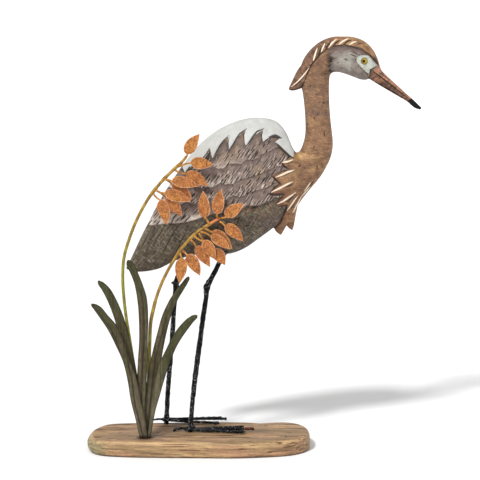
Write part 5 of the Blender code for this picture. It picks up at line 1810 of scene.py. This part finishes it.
class HERONDECOY_OT_leaves(Operator):
    """Cut, cup and paint the nineteen leaves with their petioles"""

    bl_idname = "heron_decoy.leaves"
    bl_label = "Leaves"

    def execute(self, context):
        settings = settings_for(context, "leaves")
        stems = settings_for(context, "stems")
        finish = leaf_finish(settings)
        for stem, leaves in LEAVES.items():
            for number, leaf in enumerate(leaves, 1):
                self.build_leaf(settings, stems, finish, f"{stem}_leaf_{number}", number, *leaf)
        return {"FINISHED"}

    def build_leaf(self, settings, stems, finish, node, number, start, base, tip, layer, bow, tone):
        start, base, tip = (np.array(p, float) for p in (start, base, tip))
        stalk = np.linspace(0, 1, 8)[:-1, None]
        along = np.linspace(0, 1, 30)
        ahead = (tip - base) / np.linalg.norm(tip - base)
        fuller = np.array([-ahead[1], ahead[0]])
        bowed = fuller * (bow * np.sin(np.pi * along**0.8))[:, None]
        spine = base + (tip - base) * along[:, None] + bowed
        stalk_bow = 0.07 * (base - start)[::-1] * (1, -1) * (1 if number % 2 else -1)
        petiole = start + (base - start) * stalk + stalk_bow * np.sin(np.pi * stalk)
        middle = np.vstack([petiole, spine])
        course = np.gradient(middle, axis=0)
        course /= np.linalg.norm(course, axis=1)[:, None]
        left = np.column_stack([-course[:, 1], course[:, 0]])
        profile = np.interp(along, *np.transpose(catmull_rom(LEAF_PROFILE, 5)))
        widest = settings.width / MM / 2 * NARROW_LEAVES.get(node, 1.0)
        half = np.concatenate([1.25 - 0.25 * stalk[:, 0], np.maximum(widest * profile, 0.25)])
        half[len(stalk):len(stalk) + 2] = np.maximum(half[len(stalk):len(stalk) + 2], 1.0)
        sides = np.linspace(-1, 1, 17)
        flat = middle[:, None] + left[:, None] * (sides[None] * half[:, None])[:, :, None]
        depth_from, depth_to = PETIOLE_START_Y[layer], LEAF_LAYER_Y[layer]
        stalk_depth = depth_from + (depth_to - depth_from) * stalk[:, 0]
        row_depth = np.concatenate([stalk_depth, np.full(len(along), depth_to)])
        cup = 0.8 * (half / half.max())[:, None] * (1 - np.abs(sides[None]) ** 1.6)
        curl = np.concatenate([np.zeros(len(stalk)), 0.7 * np.sin(np.pi * along)])
        depth = row_depth[:, None] + cup - curl[:, None]
        centres = np.dstack([flat[:, :, 0], depth, flat[:, :, 1]])
        thickness = np.concatenate(
            [np.full(len(stalk), 2.0), np.full(len(along), settings.thickness / MM)])
        places, faces = ribbon(centres, sides, thickness, half)
        item = mesh_object(f"painted_{node}", places, faces)

        both = np.concatenate([sides, sides[::-1]])
        row_half = np.repeat(half, len(both))
        column = np.tile(both, len(half))
        blade = np.repeat(np.concatenate([np.full(len(stalk), -0.2), along]), len(both))
        outward = np.repeat(left, len(both), axis=0) * np.sign(column)[:, None]
        lit_side = 0.3 + 0.7 * smoothstep(-0.4, 0.6, outward @ (0.75, -0.66))
        rim_gap = (1 - np.abs(column)) * row_half
        to_tip = (1 - blade) * np.linalg.norm(tip - base)
        seed = 80 + number
        paint = flat_paint(settings.copper, len(places))
        blend_paint(paint, settings.deep, np.full(len(places), 0.5 - 0.5 * tone))
        blend_paint(paint, settings.deep, 0.55 * smoothstep(0.5, 0.85, smooth_noise(places, 6.0, seed)))
        blend_paint(paint, settings.gold, 0.5 * smoothstep(0.5, 0.9, smooth_noise(places, 8.0, seed + 1)))
        # Painted highlight along the rim, strongest on the lower right side.
        rim = np.exp(-(np.minimum(rim_gap, to_tip) / 0.85) ** 2)
        blend_paint(paint, settings.rim, 0.95 * rim * lit_side)
        # Painted shade: a darker band just inside the rim.
        inner_rim_shade = np.exp(-((np.minimum(rim_gap, to_tip) - 1.7) / 0.8) ** 2)
        blend_paint(paint, settings.deep, 0.4 * inner_rim_shade * (blade > 0))
        blend_paint(paint, stems.petiole, smoothstep(0.05, -0.03, blade))
        write_paint(item.data, paint)
        write_share(item.data, "leaf", smoothstep(0.0, 0.1, blade) * (1 - 0.8 * rim * lit_side))
        finish_piece(item, finish, node)


def sweep_floor(radius, rise):
    """A round floor that sweeps up at its rim, as rings from the middle out."""
    sides = 96
    angle = np.linspace(0, 2 * np.pi, sides, endpoint=False)
    rings = []
    for share in (0.002, 0.2, 0.4, 0.6):
        rings.append((radius * share, 0.0))
    for turn in np.linspace(0.1, 1.0, 10):
        bend = turn * math.pi / 2
        rings.append((radius * (0.6 + 0.4 * math.sin(bend)), rise * (1 - math.cos(bend))))
    places = np.array([
        (r * math.cos(a), r * math.sin(a), z) for r, z in rings for a in angle
    ])
    return places / MM, [tuple(range(sides)), *ring_faces(len(rings), sides)]


class HERONDECOY_OT_stage(Operator):
    """Lay the pale floor, and place the lights and the camera"""

    bl_idname = "heron_decoy.stage"
    bl_label = "Stage"

    def execute(self, context):
        settings = settings_for(context, "stage")
        scene = context.scene
        floor = mesh_object("pale_floor", *sweep_floor(FLOOR_RADIUS, FLOOR_RISE))
        floor.data.shade_smooth()
        floor.location.z = -FLOOR_DROP
        material, tree, shader = new_finish("pale_floor", 0.9, Specular_IOR_Level=0.1)
        dust = noise(tree, (400.0, 400.0, 400.0), 2.0)
        pale = mix(tree, dust, settings.floor, [c * 0.985 for c in settings.floor])
        tree.links.new(pale, shader.inputs["Base Color"])
        floor.data.materials.append(material)

        world = bpy.data.worlds.new("soft_studio")
        world.use_nodes = True
        background = world.node_tree.nodes["Background"]
        background.inputs["Color"].default_value = (1.0, 1.0, 1.0, 1.0)
        background.inputs["Strength"].default_value = settings.fill
        scene.world = world
        light = bpy.data.lights.new("key_light", "SUN")
        light.energy = settings.key
        light.angle = settings.key_spread
        key = bpy.data.objects.new("key_light", light)
        key.rotation_euler = (-Vector(KEY_FROM)).to_track_quat("-Z", "Y").to_euler()
        scene.collection.objects.link(key)
        scene.view_settings.view_transform = "Standard"

        camera = bpy.data.objects.new("camera", bpy.data.cameras.new("camera"))
        camera.data.lens = CAMERA_LENS
        camera.data.sensor_width = 36.0
        camera.location = CAMERA_PLACE
        ahead = Vector(CAMERA_TARGET) - Vector(CAMERA_PLACE)
        camera.rotation_euler = ahead.to_track_quat("-Z", "Y").to_euler()
        scene.collection.objects.link(camera)
        scene.camera = camera
        return {"FINISHED"}


OPERATORS = (
    HERONDECOY_OT_board, HERONDECOY_OT_heron, HERONDECOY_OT_eyes, HERONDECOY_OT_legs, HERONDECOY_OT_grass,
    HERONDECOY_OT_stems, HERONDECOY_OT_leaves, HERONDECOY_OT_stage,
)
SETTINGS = {
    "board": BoardSettings, "heron": HeronSettings, "eyes": EyeSettings, "legs": LegSettings,
    "grass": GrassSettings, "stems": StemSettings, "leaves": LeafSettings, "stage": StageSettings,
}


class HERONDECOY_PT_panel(Panel):
    """Sizes, colours and builders of the heron decoy"""

    bl_label = "Heron Decoy"
    bl_space_type = "VIEW_3D"
    bl_region_type = "UI"
    bl_category = "Heron Decoy"

    def draw(self, context):
        for part, operator in zip(SETTINGS, OPERATORS):
            box = self.layout.box()
            box.operator(operator.bl_idname)
            settings = settings_for(context, part)
            for name in settings.__annotations__:
                box.prop(settings, name)


def register():
    for item in (*SETTINGS.values(), *OPERATORS, HERONDECOY_PT_panel):
        bpy.utils.register_class(item)
    for part, settings in SETTINGS.items():
        setattr(bpy.types.Scene, "heron_decoy_" + part, PointerProperty(type=settings))


def unregister():
    for part in SETTINGS:
        delattr(bpy.types.Scene, "heron_decoy_" + part)
    for item in reversed((*SETTINGS.values(), *OPERATORS, HERONDECOY_PT_panel)):
        bpy.utils.unregister_class(item)


def main():
    """Build every piece in order."""
    register()
    for operator in OPERATORS:
        group, name = operator.bl_idname.split(".")
        getattr(getattr(bpy.ops, group), name)()


if __name__ == "__main__":
    main()
